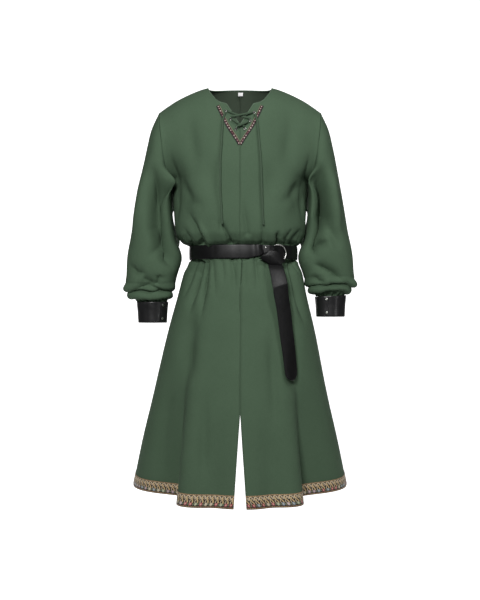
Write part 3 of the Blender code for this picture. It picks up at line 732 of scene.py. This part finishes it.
def sleeve(side):
    """Sleeve from inside the cuff up to the armhole: rings joined by smooth curves, creased."""
    turn = np.linspace(0, 2 * math.pi, SLEEVE_COLUMNS + 1)
    top = armhole(side, turn)
    top[:, 0] += side * ARMHOLE_GAP
    rings = [top]
    place = (1 + power(np.cos(turn), ROUND)) / 2
    for outer_x, outer_z, inner_x, inner_z, depth in SLEEVE_SECTIONS:
        x = inner_x + (outer_x - inner_x) * place
        z = inner_z + (outer_z - inner_z) * place
        rings.append(np.stack([side * x, -depth * power(np.sin(turn), ROUND), z], axis=-1))
    centre, cuff_top, _, half, _, _ = CUFFS[side]
    for ring, share in zip(rings[-3:], (0.5, 0.8, 1.0)):
        ring[:, 2] += (cuff_top - CUFFS[-1][1]) * share
    for drop in (0.0005, -SLEEVE_IN_CUFF):
        x = side * (centre + (half - CUFF_CLEARANCE) * np.cos(turn))
        y = -(CUFF_DEPTH - CUFF_CLEARANCE) * np.sin(turn)
        rings.append(np.stack([x, y, np.full_like(x, cuff_top + drop)], axis=-1))
    rings = np.stack(rings)
    length = np.linalg.norm(np.diff(rings, axis=0), axis=-1).mean(axis=1)
    length = np.concatenate([[0], np.cumsum(length)])
    share = np.linspace(0, 1, SLEEVE_ROWS)
    rows = length[-1] * (1 - (1 - share) ** 1.35)
    slopes = np.gradient(rings, length, axis=0)
    span = np.clip(np.searchsorted(length, rows) - 1, 0, len(length) - 2)
    width = (length[span + 1] - length[span])[:, None, None]
    t = (rows - length[span])[:, None, None] / width
    grid = hermite(t, width, span, rings, slopes)[::-1]
    rows = rows[::-1]
    if side > 0:
        grid = grid[:, ::-1]
        turn = turn[::-1]

    wide = np.concatenate([grid[:, -2:-1], grid, grid[:, 1:2]], axis=1)
    outward = unit(np.cross(np.gradient(wide, axis=1), np.gradient(wide, axis=0))[:, 1:-1])
    left = (length[-1] - rows)[:, None]
    x, z = np.abs(grid[..., 0]), grid[..., 2]
    to_front = np.clip(-1.6 * outward[..., 1], 0, 1)
    to_back = np.clip(1.6 * outward[..., 1], 0, 1)
    push = creases(x, z, SLEEVE_CREASES[side]) * to_front
    push += creases(x, z, SLEEVE_BACK_CREASES) * to_back
    # Bunching above the cuff: rolls that run round, and gathers that run into the leather.
    wander = 0.8 * np.sin(2 * turn + side) + 0.5 * np.sin(3 * turn + 2)
    roll = 1 - 2 * np.abs(np.sin(math.pi * left / ROLL_PITCH + wander[None, :] / 2)) ** 0.7
    push -= ROLL_DEPTH * roll * np.exp(-(((left - 0.045) / 0.024) ** 2))
    ripple = np.sin(17 * turn + 2.2 * np.sin(2 * turn)) + 0.6 * np.sin(29 * turn + side)
    push += CUFF_GATHER * ripple[None, :] * np.exp(-(((left - 0.018) / 0.014) ** 2))
    keep = np.clip(rows / 0.006, 0, 1)[:, None] * np.clip((left - 0.012) / 0.006, 0, 1)
    grid = grid + outward * (push * keep)[..., None]
    # The front and the back of the sleeve lean in beside the chest.
    beside = np.exp(-(((np.cos(turn) + 0.52) / 0.36) ** 2)) * np.abs(np.sin(turn))
    window = smooth(np.clip((-0.215 - z) / 0.05, 0, 1) * np.clip((z + 0.475) / 0.07, 0, 1))
    grid[..., 0] -= side * LEAN_IN * beside[None, :] * window
    inner = np.clip(-np.cos(turn), 0, 1)[None, :] ** 2
    grid[..., 0] -= side * WAIST_PUFF * inner * np.exp(-(((z + 0.455) / 0.035) ** 2))
    grid[..., 2] -= shoulder_droop(grid[..., 0], grid[..., 2])
    return grid


for side, hand in SIDES:
    piece = shell_piece(f"cloth_sleeve_{hand}", sleeve(side), cloth, SHELL, f"sleeve_{hand}",
                        "green_cloth", closed=True, inner=inside_painted_shade)

# Hem trims: a 33 mm jacquard ribbon on each half of the hem, sewn flat on the cloth, with
# gold curves on dark brown, a row of small coloured flowers and brown borders.
ribbon = Finish("jacquard_ribbon", Roughness=0.7, Sheen_Weight=0.1)
place, u, v = ribbon.uv()
MOTIF = 0.0128
TRIM_WIDTH = TRIM_TOP - HEM_Z
step = u / MOTIF + 40.0
cell = step.math("FLOOR")
f = step - cell
w = v / TRIM_WIDTH


def far(sideways, height):
    """Distance in metres from a point beside this one, at a share of the ribbon's width."""
    return ((sideways * MOTIF) ** 2 + ((w - height) * TRIM_WIDTH) ** 2).math("SQRT")


bars = abs(f - 0.5 - (w * 7.5 - 1.2).sine() * 0.24).below(0.12) * w.above(0.36) * w.below(0.80)
twin = abs(f - 0.5 - (w * 7.5 + 1.2).sine() * 0.34).below(0.06) * w.above(0.34) * w.below(0.84)
loop = abs(far(f - 0.5, 0.70) - 0.0052).below(0.0009) * w.above(0.62)
from_flower = far(f - 0.5, 0.27)
flower = from_flower.below(0.0036)
heart = from_flower.below(0.0015)
leaf = far(f - (f + 0.5).math("FLOOR"), 0.27).below(0.0020)
dice = ribbon.add("TexWhiteNoise", settings={"noise_dimensions": "1D"}, W=cell)
FLOWERS = (
    (0.55, 0.10, 0.14, 1), (0.42, 0.30, 0.38, 1), (0.66, 0.58, 0.42, 1), (0.22, 0.33, 0.42, 1),
    (0.42, 0.03, 0.07, 1), (0.40, 0.48, 0.32, 1), (0.62, 0.50, 0.52, 1),
)
petals = FLOWERS[0]
for number, tint in enumerate(FLOWERS[1:], 1):
    petals = ribbon.mix(dice.above(number / len(FLOWERS)), petals, tint)
GROUND = (0.022, 0.015, 0.011, 1)
GOLD = (0.66, 0.47, 0.22, 1)
CREAM = (0.76, 0.62, 0.42, 1)
BORDER = (0.17, 0.095, 0.055, 1)
LEAF_GREEN = (0.16, 0.20, 0.11, 1)
mottle = ribbon.add("TexNoise", Vector=place, Scale=700.0, Detail=2.0)
colour = ribbon.mix(mottle.above(0.60), GROUND, (0.34, 0.25, 0.15, 1))
for figure, tint in ((twin, CREAM), (loop, CREAM), (bars, GOLD), (leaf, LEAF_GREEN),
                     (flower, petals), (heart, CREAM)):
    colour = ribbon.mix(figure, colour, tint)
line = abs(w - 0.5)
colour = ribbon.mix(line.above(0.385), colour, BORDER)
bead = u.wave(0.0042).above(-0.2)
colour = ribbon.mix(abs(line - 0.425).below(0.020) * bead, colour, GOLD)
thread = u.wave(0.0006) * v.wave(0.0009)
shade = thread * 0.10 + mottle * 0.9 + 0.50
colour = ribbon.mix(shade.at_most(1), GROUND, colour)
ribbon.set(Base_Color=colour)
ribbon.bump(thread * 0.4 + (bars + flower + loop).at_most(1), 0.0003, 0.6)

TRIM_ROWS = ROW_SPANS[0][2] + 1
for side, hand in SIDES:
    halves = [panels[f"front_{hand}"][:TRIM_ROWS], panels[f"back_{hand}"][:TRIM_ROWS]]
    halves = halves if side > 0 else halves[::-1]
    band = np.concatenate([halves[0], halves[1][:, 1:]], axis=1)
    band = band + normals(band) * (SHELL + 0.0003)
    piece = shell_piece(f"trim_hem_{hand}", band, ribbon.material, 0.0008,
                        f"hem_trim_{hand}", "jacquard_ribbon")

# V trims: a 9 mm burgundy and black ribbon on each side of the V, sewn down along both edges,
# with pale woven dots and a thin gold edge on the outside.
GAP = 0.0003
V_TRIM_WIDTH = 0.009
V_DOT_PITCH = 0.0081
V_TRIM_PATH = ((0.0003, -0.170), (0.0120, -0.151), (0.0320, -0.119), (0.0450, -0.092),
               (0.0575, -0.063))


def on_body(side, x, height, lift):
    """Points of the front form at x and height, moved out by lift."""
    x = np.asarray(x, float)
    height = np.asarray(height, float)
    angle = side * angle_at(x, height)
    place = body(angle, height)
    step = 0.004
    across = body(angle + step, height) - body(angle - step, height)
    up = body(angle, height + step) - body(angle, height - step)
    return place + unit(np.cross(across, up)) * np.asarray(lift)[..., None]


def along_curve(points, share):
    """Points at shares of the length of a smooth curve through a few given points."""
    length = run_along(points)
    place = share * length[-1]
    return np.stack([through(place, length, column) for column in zip(*points)], axis=-1)


def ribbon_edges(path, width, shares):
    """Lines beside a flat path, at shares of the width from the middle."""
    heading = unit(np.gradient(path, axis=0))
    sideways = np.stack([heading[:, 1], -heading[:, 0]], axis=-1)
    return [path + sideways * np.reshape(width * share, (-1, 1)) for share in shares]


def braid(name, side):
    """Burgundy braid: dots every 8.1 mm on a dark ground, gold on the outer edge."""
    finish = Finish(name, Roughness=0.6, Sheen_Weight=0.1)
    place, across, along = finish.uv()
    step = along / V_DOT_PITCH
    cell = step.math("FLOOR")
    away = (((step - cell - 0.5) * V_DOT_PITCH) ** 2 + across ** 2).math("SQRT")
    dice = finish.add("TexWhiteNoise", settings={"noise_dimensions": "1D"}, W=cell)
    pale = finish.mix(dice, (0.14, 0.04, 0.045, 1), (0.66, 0.57, 0.50, 1))
    noise = finish.add("TexNoise", Vector=place, Scale=900.0, Detail=1.0)
    ground = finish.mix(abs(across).below(0.0019), (0.005, 0.004, 0.004, 1),
                        (0.07, 0.006, 0.010, 1))
    ground = finish.mix(noise * 0.6, ground, (0.008, 0.003, 0.004, 1))
    colour = finish.mix(away.below(0.0016), ground, pale)
    outer = (across * side * -1).above(0.0036)
    finish.set(Base_Color=finish.mix(outer, colour, (0.30, 0.24, 0.15, 1)))
    finish.bump(along.wave(0.0012) * 0.4 + away.below(0.0019), 0.0004, 0.6)
    return finish.material


for side, hand in SIDES:
    path = along_curve(V_TRIM_PATH, np.linspace(0, 1, 90))
    lines = []
    for line in ribbon_edges(path, V_TRIM_WIDTH, np.linspace(-0.5, 0.5, 9)):
        lines.append(on_body(side, np.maximum(line[:, 0], GAP), line[:, 1], SHELL + 0.0004))
    strip = np.stack(lines, axis=1)
    strip = strip if side > 0 else strip[:, ::-1]
    piece = shell_piece(f"trim_v_{hand}", strip, braid(f"braid_{hand}", side), 0.0009,
                        f"v_trim_{hand}", "burgundy_ribbon")

# Neck binding: a narrow rolled strip of the same cloth, sewn over the raw edge of the neck and
# of the V, so that the edge shows as a thin soft roll.
BINDING_RADIUS = 0.0015


def tube(name, path, facing, wide, thin, material, sides=14, closed=False, taper=0.0):
    """Rod along a path: an oval section, wide across and thin along the facing directions.

    The ends are closed by rings that shrink to a point over the taper length.
    """
    path = np.asarray(path, float)
    if closed:
        heading = unit(np.roll(path, -1, axis=0) - np.roll(path, 1, axis=0))
    else:
        heading = unit(np.gradient(path, axis=0))
    across = unit(np.cross(heading, facing))
    lift = np.cross(across, heading)
    size = np.ones(len(path))
    if taper:
        run = run_along(path)
        near_end = np.minimum(run, run[-1] - run) / taper
        size = np.sqrt(np.clip(1 - (1 - np.clip(near_end, 0, 1)) ** 2, 1e-4, 1))
    if closed:
        path, across, lift = (np.concatenate([a, a[:1]]) for a in (path, across, lift))
        size = np.concatenate([size, size[:1]])
    turn = np.linspace(0, 2 * math.pi, sides + 1)
    ring = across[:, None] * (wide * np.cos(turn))[None, :, None]
    ring = ring - lift[:, None] * (thin * np.sin(turn))[None, :, None]
    grid = path[:, None] + ring * size[:, None, None]
    uv = np.stack(np.broadcast_arrays(turn[None, :] * wide, run_along(path)[:, None]), axis=-1)
    return grid_mesh(name, grid[:, ::-1], uv[:, ::-1], material, closed=True)


# The binding is a lighter copy of the cloth's colours: painted light on the roll of the edge.
binding_painted_light = green_cloth("green_binding_painted_light", (0.125, 0.185, 0.125, 1), (0.085, 0.130, 0.085, 1))
heights = np.concatenate([np.linspace(-0.1175, -0.055, 50), np.linspace(-0.0535, -0.0005, 44)])
edge_line = np.interp(heights, NECKLINE_Z, NECKLINE_X) + 0.0002
left_line = on_body(1, edge_line, heights, SHELL / 2)
around = np.radians(np.linspace(4, 176, 90))
back_line = np.stack([
    NECK_X * np.cos(around),
    (BACK_NECK_Y + SHELL / 2) * np.sin(around),
    BACK_NECK_Z * np.sin(around) ** 2 + 0.0002,
], axis=-1)
route = np.concatenate([left_line, back_line, left_line[::-1] * (-1, 1, 1)])
middle = unit(np.stack([route[:, 0], route[:, 1] + 0.0001, 0 * route[:, 0]], axis=-1))
piece = tube("binding", route, middle, BINDING_RADIUS, BINDING_RADIUS, binding_painted_light, 10)
place_piece(piece, "neck_binding")

# Lacing: three metal eyelets on each side of the V, a folded strip of the cloth laced through
# them in crosses, and its two ends hanging free over the chest.
CLOTH = 0.0015
RIBBON = 0.001
LACE_RADIUS = 0.0027
LACE_THIN = 0.0021
EYELET_RADIUS = 0.0028
EYELET_WIRE = 0.0009
EYELETS = {
    -1: ((0.0366, -0.079), (0.0239, -0.102), (0.0104, -0.1295)),
    1: ((0.0366, -0.083), (0.0268, -0.1070), (0.0122, -0.129)),
}
LACE_ENDS = {
    -1: ((0.0375, -0.083), (0.0440, -0.108), (0.0469, -0.165), (0.0502, -0.219),
         (0.0500, -0.286), (0.0470, -0.330), (0.0453, -0.376)),
    1: ((0.0375, -0.087), (0.0440, -0.110), (0.0471, -0.147), (0.0525, -0.219),
        (0.0543, -0.286), (0.0560, -0.330), (0.0580, -0.378)),
}
HOLE_RADIUS = 0.0026
HOLE_HEIGHT = 0.0002
LACE_END_LENGTH = 0.29
# Where a crossing starts and ends beside its eyelets, and how far it bows out and sags.
BAR_START = (-0.0035, -0.0022)
BAR_END = (0.0005, 0.0045)
BAR_BOW = 0.0062
BAR_SAG = 0.002
# Crossings: eyelet (side, number) where it starts and where it ends, and its layer.
LACE_CROSSINGS = (((-1, 1), (1, 2), 0), ((1, 1), (-1, 2), 1), ((-1, 2), (1, 3), 0),
                  ((1, 2), (-1, 3), 1))
steel = Finish("steel", Metallic=1.0, Base_Color=(0.86, 0.85, 0.82, 1))
steel_scratch = steel.add("TexNoise", Scale=900.0, Detail=3.0)
steel.set(Roughness=steel_scratch * 0.18 + 0.30)
steel.bump(steel_scratch, 0.00004, 0.5)
eyelet_metal = Finish("eyelet_metal", Metallic=1.0, Base_Color=(0.40, 0.42, 0.38, 1),
                      Roughness=0.32)
# Near-black finish of the discs that stand for the eyelets' holes: painted shade.
hole_painted_shade = Finish("hole_painted_shade", Base_Color=(0.006, 0.010, 0.006, 1), Roughness=0.95)
# The lace is a darker copy of the cloth's colours: painted shade for the shadowed edges of the
# cord.
lace_cloth_painted_shade = green_cloth("green_lace_painted_shade", (0.076, 0.120, 0.076, 1), (0.046, 0.074, 0.046, 1))


def spokes(axis, turn):
    """Unit vectors square to an axis, at angles from a level one."""
    first = unit(np.cross(axis, (0, 0, 1)))
    return first * np.cos(turn)[:, None] + np.cross(axis, first) * np.sin(turn)[:, None]


def ring_of(name, centre, axis, radius, wire, material, count=48, sides=12):
    """Wire ring round an axis."""
    spoke = spokes(unit(axis), np.linspace(0, 2 * math.pi, count, endpoint=False))
    return tube(name, centre + spoke * radius, spoke, wire, wire, material, sides, closed=True)


def turned(name, foot, axis, profile, material, sides=28):
    """Round solid about an axis: the profile is (radius, height) from the foot upward."""
    axis = unit(axis)
    turn = np.linspace(0, 2 * math.pi, sides + 1)
    radius, height = np.array(profile, float).T
    grid = foot + spokes(axis, -turn) * radius[:, None, None] + axis * height[:, None, None]
    uv = np.stack(np.broadcast_arrays(turn[None, :] * radius.max(), height[:, None]), axis=-1)
    return grid_mesh(name, grid[:, ::-1], uv[:, ::-1], material, closed=True)


def lace_piece(name, line, facing, node, **cord):
    """Stretch of the lace along a line, in place of its CAD node."""
    piece = tube(name, line, facing, LACE_RADIUS, LACE_THIN, lace_cloth_painted_shade, 16, taper=0.0015)
    place_piece(piece, node)


seat = SHELL + EYELET_WIRE + 0.0003
for side, hand in SIDES:
    for number, (x, height) in enumerate(EYELETS[side], 1):
        centre = on_body(side, x, height, seat)
        axis = on_body(side, x, height, 0.02) - centre
        rim = ring_of(f"eyelet_rim_{hand}_{number}", centre, axis, EYELET_RADIUS, EYELET_WIRE,
                      eyelet_metal.material, 32, 10)
        place_piece(rim, f"eyelet_{hand}_{number}")
        # A near-black disc on the cloth inside each ring: painted shade where the hole is.
        hole = turned(f"eyelet_hole_{hand}_{number}", on_body(side, x, height, SHELL + 0.0001),
                      axis, ((HOLE_RADIUS, 0), (HOLE_RADIUS, HOLE_HEIGHT), (0.00001, HOLE_HEIGHT)),
                      hole_painted_shade.material, 20)
        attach(hole, "root")

# Each crossing runs from below one eyelet to above the next one, and every second pair bows
# out over the other.
over = CLOTH + 2 * EYELET_WIRE + 4 * GAP + LACE_THIN
for number, (start, end, layer) in enumerate(LACE_CROSSINGS, 1):
    x0, z0 = EYELETS[start[0]][start[1] - 1]
    x1, z1 = EYELETS[end[0]][end[1] - 1]
    first = on_body(start[0], x0 + BAR_START[0], z0 + BAR_START[1], over)
    last = on_body(end[0], x1 + BAR_END[0], z1 + BAR_END[1], over)
    share = np.linspace(0, 1, 40)[:, None]
    line = first + (last - first) * share
    bow = np.sin(math.pi * share[:, 0]) ** 0.7
    line[:, 1] -= bow * layer * BAR_BOW
    line[:, 2] -= bow * BAR_SAG
    lace_piece(f"lace_bar_{number}", line, (0, -1, 0.2), f"lace_cross_{number}",
               length=float(run_along(line)[-1]), far_end="object", lay="taut")

rest = CLOTH + RIBBON + 5 * GAP + LACE_THIN
for side, hand in SIDES:
    route = along_curve(LACE_ENDS[side], np.linspace(0, 1, 120))
    line = on_body(side, route[:, 0], route[:, 1], rest)
    lace_piece(f"lace_tail_{hand}", line, (0, -1, 0), f"lace_end_{hand}",
               length=LACE_END_LENGTH, far_end="bare", lay="hanging")

# Belt: a 36 mm strap of smooth black leather, a steel ring at the wearer's left front, and the
# tail passed through the ring, turned over it as a knot and hanging to the thigh.
RING_X = 0.087
RING_Z = -0.4478
RING_RADIUS = 0.0228
RING_WIRE = 0.0017
LEATHER = 0.003
STRAP_LIFT = CLOTH + GAP
BELT_LEVEL = -0.4440
# The strap runs from under the ring round the left side, the back and the right side to the
# knot, where its lower edge climbs and its end slants and swells.
STRAP_START = 0.62
STRAP_END = 2 * math.pi + 0.40
LOW_EDGE_X = (0.020, 0.052, 0.064)
LOW_EDGE_Z = (BELT_BOTTOM, -0.454, -0.4485)
END_SLANT = 0.07
END_SWELL = 0.0045


def leather(name, tone, rough):
    """Smooth black leather: a fine grain of small cells, faint clouds and soft wear."""
    finish = Finish(name, Specular_IOR_Level=0.24, Coat_Roughness=0.34)
    place, _, _ = finish.uv()
    grain = finish.add("TexVoronoi", Vector=place, Scale=1100.0)
    cloud = finish.add("TexNoise", Vector=place, Scale=45.0, Detail=3.0)
    fine = finish.add("TexNoise", Vector=place, Scale=2500.0, Detail=2.0)
    dark = (tone * 0.7, tone * 0.7, tone * 0.74, 1)
    light = (tone * 1.5, tone * 1.5, tone * 1.6, 1)
    finish.set(Base_Color=finish.mix(cloud, dark, light))
    finish.set(Roughness=cloud * 0.16 + fine * 0.06 + rough)
    finish.set(Coat_Weight=cloud * 0.10 + 0.05)
    finish.bump(grain * 0.7 + fine * 0.3 + cloud * 2, 0.00012, 0.6)
    return finish.material


belt_leather = leather("belt_leather", 0.0050, 0.31)

turn = np.linspace(STRAP_START, STRAP_END, 420)
share = np.linspace(0, 1, 12)[:, None]
end_x = body(turn, BELT_LEVEL)[:, 0]
at_end = turn > 6
low = np.where(at_end, np.interp(end_x, LOW_EDGE_X, LOW_EDGE_Z), BELT_BOTTOM)
slant = np.where(at_end, np.clip((turn - 6.3) / 0.4, 0, 1) ** 2 * END_SLANT, 0)
angle = turn - slant * share
strap = body(angle, low + (BELT_TOP - low) * share)
strap[..., :2] = body(angle, BELT_LEVEL)[..., :2]
swell = END_SWELL * np.exp(-(((end_x - 0.050) / 0.010) ** 2)) * at_end
wave = np.abs(0.0004 * np.sin(7 * turn) + 0.0002 * np.sin(19 * turn + 1))
crown = 0.0007 * np.sin(math.pi * share)
lift = STRAP_LIFT + 0.0002 + swell + wave + crown
strap = strap + normals(strap) * lift[..., None]
shell_piece("belt_band", strap, belt_leather, 0.0026, "belt_strap", "black_leather", edge=0.0008)

over_strap = STRAP_LIFT + LEATHER + 2 * GAP
centre = on_body(1, RING_X, RING_Z, over_strap + RING_WIRE + 0.0010)
axis = on_body(1, RING_X, RING_Z, 0.03) - centre
piece = ring_of("ring", centre, axis, RING_RADIUS, RING_WIRE, steel.material, 96, 16)
place_piece(piece, "belt_ring")

# The tail as seen inside the ring: it comes up from behind and turns over the ring's left arc.
INNER_EDGE_X = 0.0525
INNER_EDGE_LEAN = 0.0060
INNER_RADIUS = 0.0208
rise = np.linspace(-1, 1, 26)[:, None]
edge_x_inside = INNER_EDGE_X - INNER_EDGE_LEAN * rise
x = edge_x_inside + (RING_X + 0.0205 - edge_x_inside) * np.linspace(0, 1, 40)
half_height = np.sqrt(np.clip(INNER_RADIUS ** 2 - np.clip(x - RING_X, 0, 1) ** 2, 1e-5, 1))
over_ring = smooth(np.clip((RING_X + 0.001 - x) / 0.014, 0, 1))
over_ring = over_ring * np.clip((x - 0.049) / 0.016, 0, 1) * (2 * RING_WIRE + 0.0022)
pad = on_body(1, x, RING_Z + half_height * rise, over_strap + over_ring)
shell_piece("belt_behind_ring", pad, belt_leather, 0.0018, "belt_inner", "black_leather",
            edge=0.0005)

# The wrap crosses over the strap and the ring: it arches up to its crest, then falls.
WRAP_LOW_EDGE = ((0.0380, -0.4610), (0.0510, -0.4680), (0.0640, -0.4760), (0.0810, -0.4810))
WRAP_HIGH_EDGE = ((0.0540, -0.4480), (0.0640, -0.4425), (0.0740, -0.4420), (0.0985, -0.4675))
WRAP_ARCH = 0.0038
WRAP_FALL = 0.0105
WRAP_CREST = 0.45
wrap_lift = over_strap + 2 * RING_WIRE + 0.0050
low = along_curve(WRAP_LOW_EDGE, np.linspace(0, 1, 48))
high = along_curve(WRAP_HIGH_EDGE, np.linspace(0, 1, 48))
share = np.linspace(0, 1, 28)[:, None]
climbing = WRAP_ARCH * (1 - (share / WRAP_CREST - 1) ** 2)
falling = WRAP_ARCH - WRAP_FALL * (share - WRAP_CREST)
arch = np.where(share < WRAP_CREST, climbing, falling)
line = low + (high - low) * share[..., None]
raised = 0.22 * np.clip(line[..., 0] - 0.066, 0, 1)
wrap = on_body(1, line[..., 0], BELT_LEVEL, wrap_lift + arch + raised)
wrap[..., 2] = line[..., 1]
shell_piece("belt_turn", wrap, belt_leather, 0.0022, "belt_wrap", "black_leather", edge=0.0008)

# The tail leans out from the knot to a diagonal bend, then hangs back against the skirt.
TAIL_WIDTH = 0.0325
TAIL_PATH = ((0.0780, -0.474), (0.0830, -0.510), (0.0865, -0.541), (0.100, -0.600),
             (0.110, -0.660), (0.120, -0.720), (0.1275, -0.773))
TAIL_BEND = 0.066
TAIL_SWING = 0.0210
path = along_curve(TAIL_PATH, np.sin(np.linspace(0, math.pi / 2, 150)) ** 0.9)
along = run_along(path)
left = (along[-1] - along) / (TAIL_WIDTH / 2)
half = TAIL_WIDTH / 2 * np.sqrt(np.clip(1 - np.clip(1 - left, 0, 1) ** 2, 0.002, 1))
across = np.linspace(-1, 1, 22)
line = np.stack(ribbon_edges(path, half, -across), axis=1)
run = along[:, None]
bend = TAIL_BEND - 0.003 * across
swing = np.where(run < bend, run / bend, np.exp(-np.clip(run - bend, 0, 1) / 0.10))
lift = STRAP_LIFT + 0.0030 + TAIL_SWING * swing * np.clip(run / 0.01, 0, 1)
lift = lift + 0.0003 * (1 - across ** 2)
lift = lift + 0.0015 * (across + 1) * np.exp(-(((run - 0.04) / 0.045) ** 2))
tail = on_body(1, line[..., 0], line[..., 1], lift)[::-1]
shell_piece("belt_hanging_end", tail, belt_leather, 0.0026, "belt_tail", "black_leather",
            edge=0.0008)

STUD_PLACE = (0.0560, -0.4335)
STUD_RADIUS = 0.0024
STUD_HEIGHT = 0.0016
stud = on_body(1, *STUD_PLACE, over_strap + 0.0030)
beyond = on_body(1, *STUD_PLACE, 0.03)
dome = [(STUD_RADIUS * math.cos(a), STUD_HEIGHT * math.sin(a))
        for a in np.linspace(0, 1.5707, 10)]
piece = turned("stud_dome", stud, beyond - stud, dome, steel.material)
place_piece(piece, "belt_stud")

# Cuffs: a strip of stiff black leather round each wrist, its end lapped over its start and
# closed with two snap buttons. The rims are stitched, and the corners of the flap are round.
CUFF_LEATHER = 0.0022
CUFF_HEIGHT = 0.056
CUFF_ROUND = 0.036
FLAP_OVERLAP = 32
FLAP_CORNER = 0.010
STITCH_PITCH = 0.0040
SNAP_INSET = 6
SNAP_SEAT = 2 * CUFF_LEATHER + 4 * GAP
SNAP_HEIGHTS = (0.84, 0.2)
SNAP_PROFILE = ((0.0034, 0.0), (0.0034, 0.0005), (0.0029, 0.0009), (0.0019, 0.0013),
                (0.0015, 0.0010), (0.0008, 0.0012), (0.00001, 0.0012))


def cuff_place(side, degrees, height, lift):
    """Point of a cuff: degrees from the front towards the outer side, height 0 to 1, lift out."""
    centre, top, bottom, half_top, half_bottom, _ = CUFFS[side]
    half = half_bottom + (half_top - half_bottom) * height
    turn = np.radians(degrees)
    depth = CUFF_DEPTH * half / half_top
    x = side * (centre + (half + lift) * np.sin(turn))
    y = -(depth + lift) * np.cos(turn)
    return np.stack(np.broadcast_arrays(x, y, bottom + (top - bottom) * height), axis=-1)


cuff_leather = Finish("cuff_leather", Coat_Roughness=0.30)
place, u, v = cuff_leather.uv()
grain = cuff_leather.add("TexVoronoi", Vector=place, Scale=1000.0)
cloud = cuff_leather.add("TexNoise", Vector=place, Scale=60.0, Detail=3.0)
stitch_row = abs(abs(v - CUFF_HEIGHT / 2) - 0.0245).below(0.0004)
stitch = stitch_row * u.wave(STITCH_PITCH).above(-0.5)
cuff_leather.set(Base_Color=cuff_leather.mix(cloud, (0.007, 0.007, 0.0075, 1),
                                             (0.015, 0.015, 0.016, 1)))
cuff_leather.set(Roughness=cloud * 0.2 + 0.24, Coat_Weight=cloud * 0.2 + 0.22)
cuff_leather.bump(grain * 0.5 + cloud * 2 - stitch * 3, 0.00015, 0.6)

for side, hand in SIDES:
    flap = CUFFS[side][5]
    degrees = np.linspace(flap - FLAP_OVERLAP - 360, flap, 300)
    on_top = np.clip((degrees - (flap - FLAP_OVERLAP - 30)) / 30, 0, 1)
    wobble = 0.0006 * np.sin(np.radians(degrees) * 3 + side)
    lift = (CUFF_LEATHER + 2 * GAP) * smooth(on_top) + np.abs(wobble)
    to_corner = np.clip(np.radians(flap - degrees) * CUFF_ROUND / FLAP_CORNER, 0, 1)
    inset = 1 - np.sqrt(np.clip(1 - (1 - to_corner) ** 2, 0.001, 1))
    inset = inset * FLAP_CORNER / CUFF_HEIGHT
    rise = np.linspace(0, 1, 18)[:, None]
    flare = 0.0006 * np.cos(math.pi * rise) ** 2
    grid = cuff_place(side, degrees, inset + (1 - 2 * inset) * rise, lift + flare)
    tilt = 0.05 if side > 0 else 0.0
    grid[..., 2] += tilt * (np.abs(grid[..., 0]) - CUFFS[side][0]) * (rise > 0.5) * (rise - 0.5) * 2
    grid = grid if side > 0 else grid[:, ::-1]
    shell_piece(f"cuff_band_{hand}", grid, cuff_leather.material, 0.0021, f"cuff_{hand}",
                "black_leather", edge=0.0006)
    for number, height in enumerate(SNAP_HEIGHTS, 1):
        foot = cuff_place(side, flap - SNAP_INSET, height, SNAP_SEAT)
        beyond = cuff_place(side, flap - SNAP_INSET, height, 0.02)
        piece = turned(f"snap_cap_{hand}_{number}", foot, beyond - foot, SNAP_PROFILE,
                       eyelet_metal.material)
        place_piece(piece, f"snap_{hand}_{number}")

# Label: a small blank white woven loop, sewn into the back neck seam by its top edge.
LABEL_LEFT = -0.0051
LABEL_WIDTH = 0.0134
LABEL_TOP = 0.0072
LABEL_HEIGHT = 0.010
woven = Finish("label_weave", Roughness=0.8)
place, u, v = woven.uv()
weave = u.wave(0.0004) * v.wave(0.0004)
woven.set(Base_Color=woven.mix(weave * 0.2 + 0.5, (0.78, 0.78, 0.78, 1), (0.9, 0.9, 0.9, 1)))
woven.bump(weave, 0.0001, 0.4)
label_x = LABEL_LEFT + LABEL_WIDTH * np.linspace(0, 1, 16)[None, :]
drop = np.linspace(1, 0, 14)[:, None]
label_y = BACK_NECK_Y - 0.0022 - 0.0008 * np.sin(math.pi * drop) + 0 * label_x
label_z = LABEL_TOP - LABEL_HEIGHT * drop
label = np.stack(np.broadcast_arrays(label_x, label_y, label_z), axis=-1)
piece = grid_mesh("label", label[:, ::-1], metric_uv(label)[:, ::-1], woven.material, 0.0006)
place_piece(piece, "neck_label")
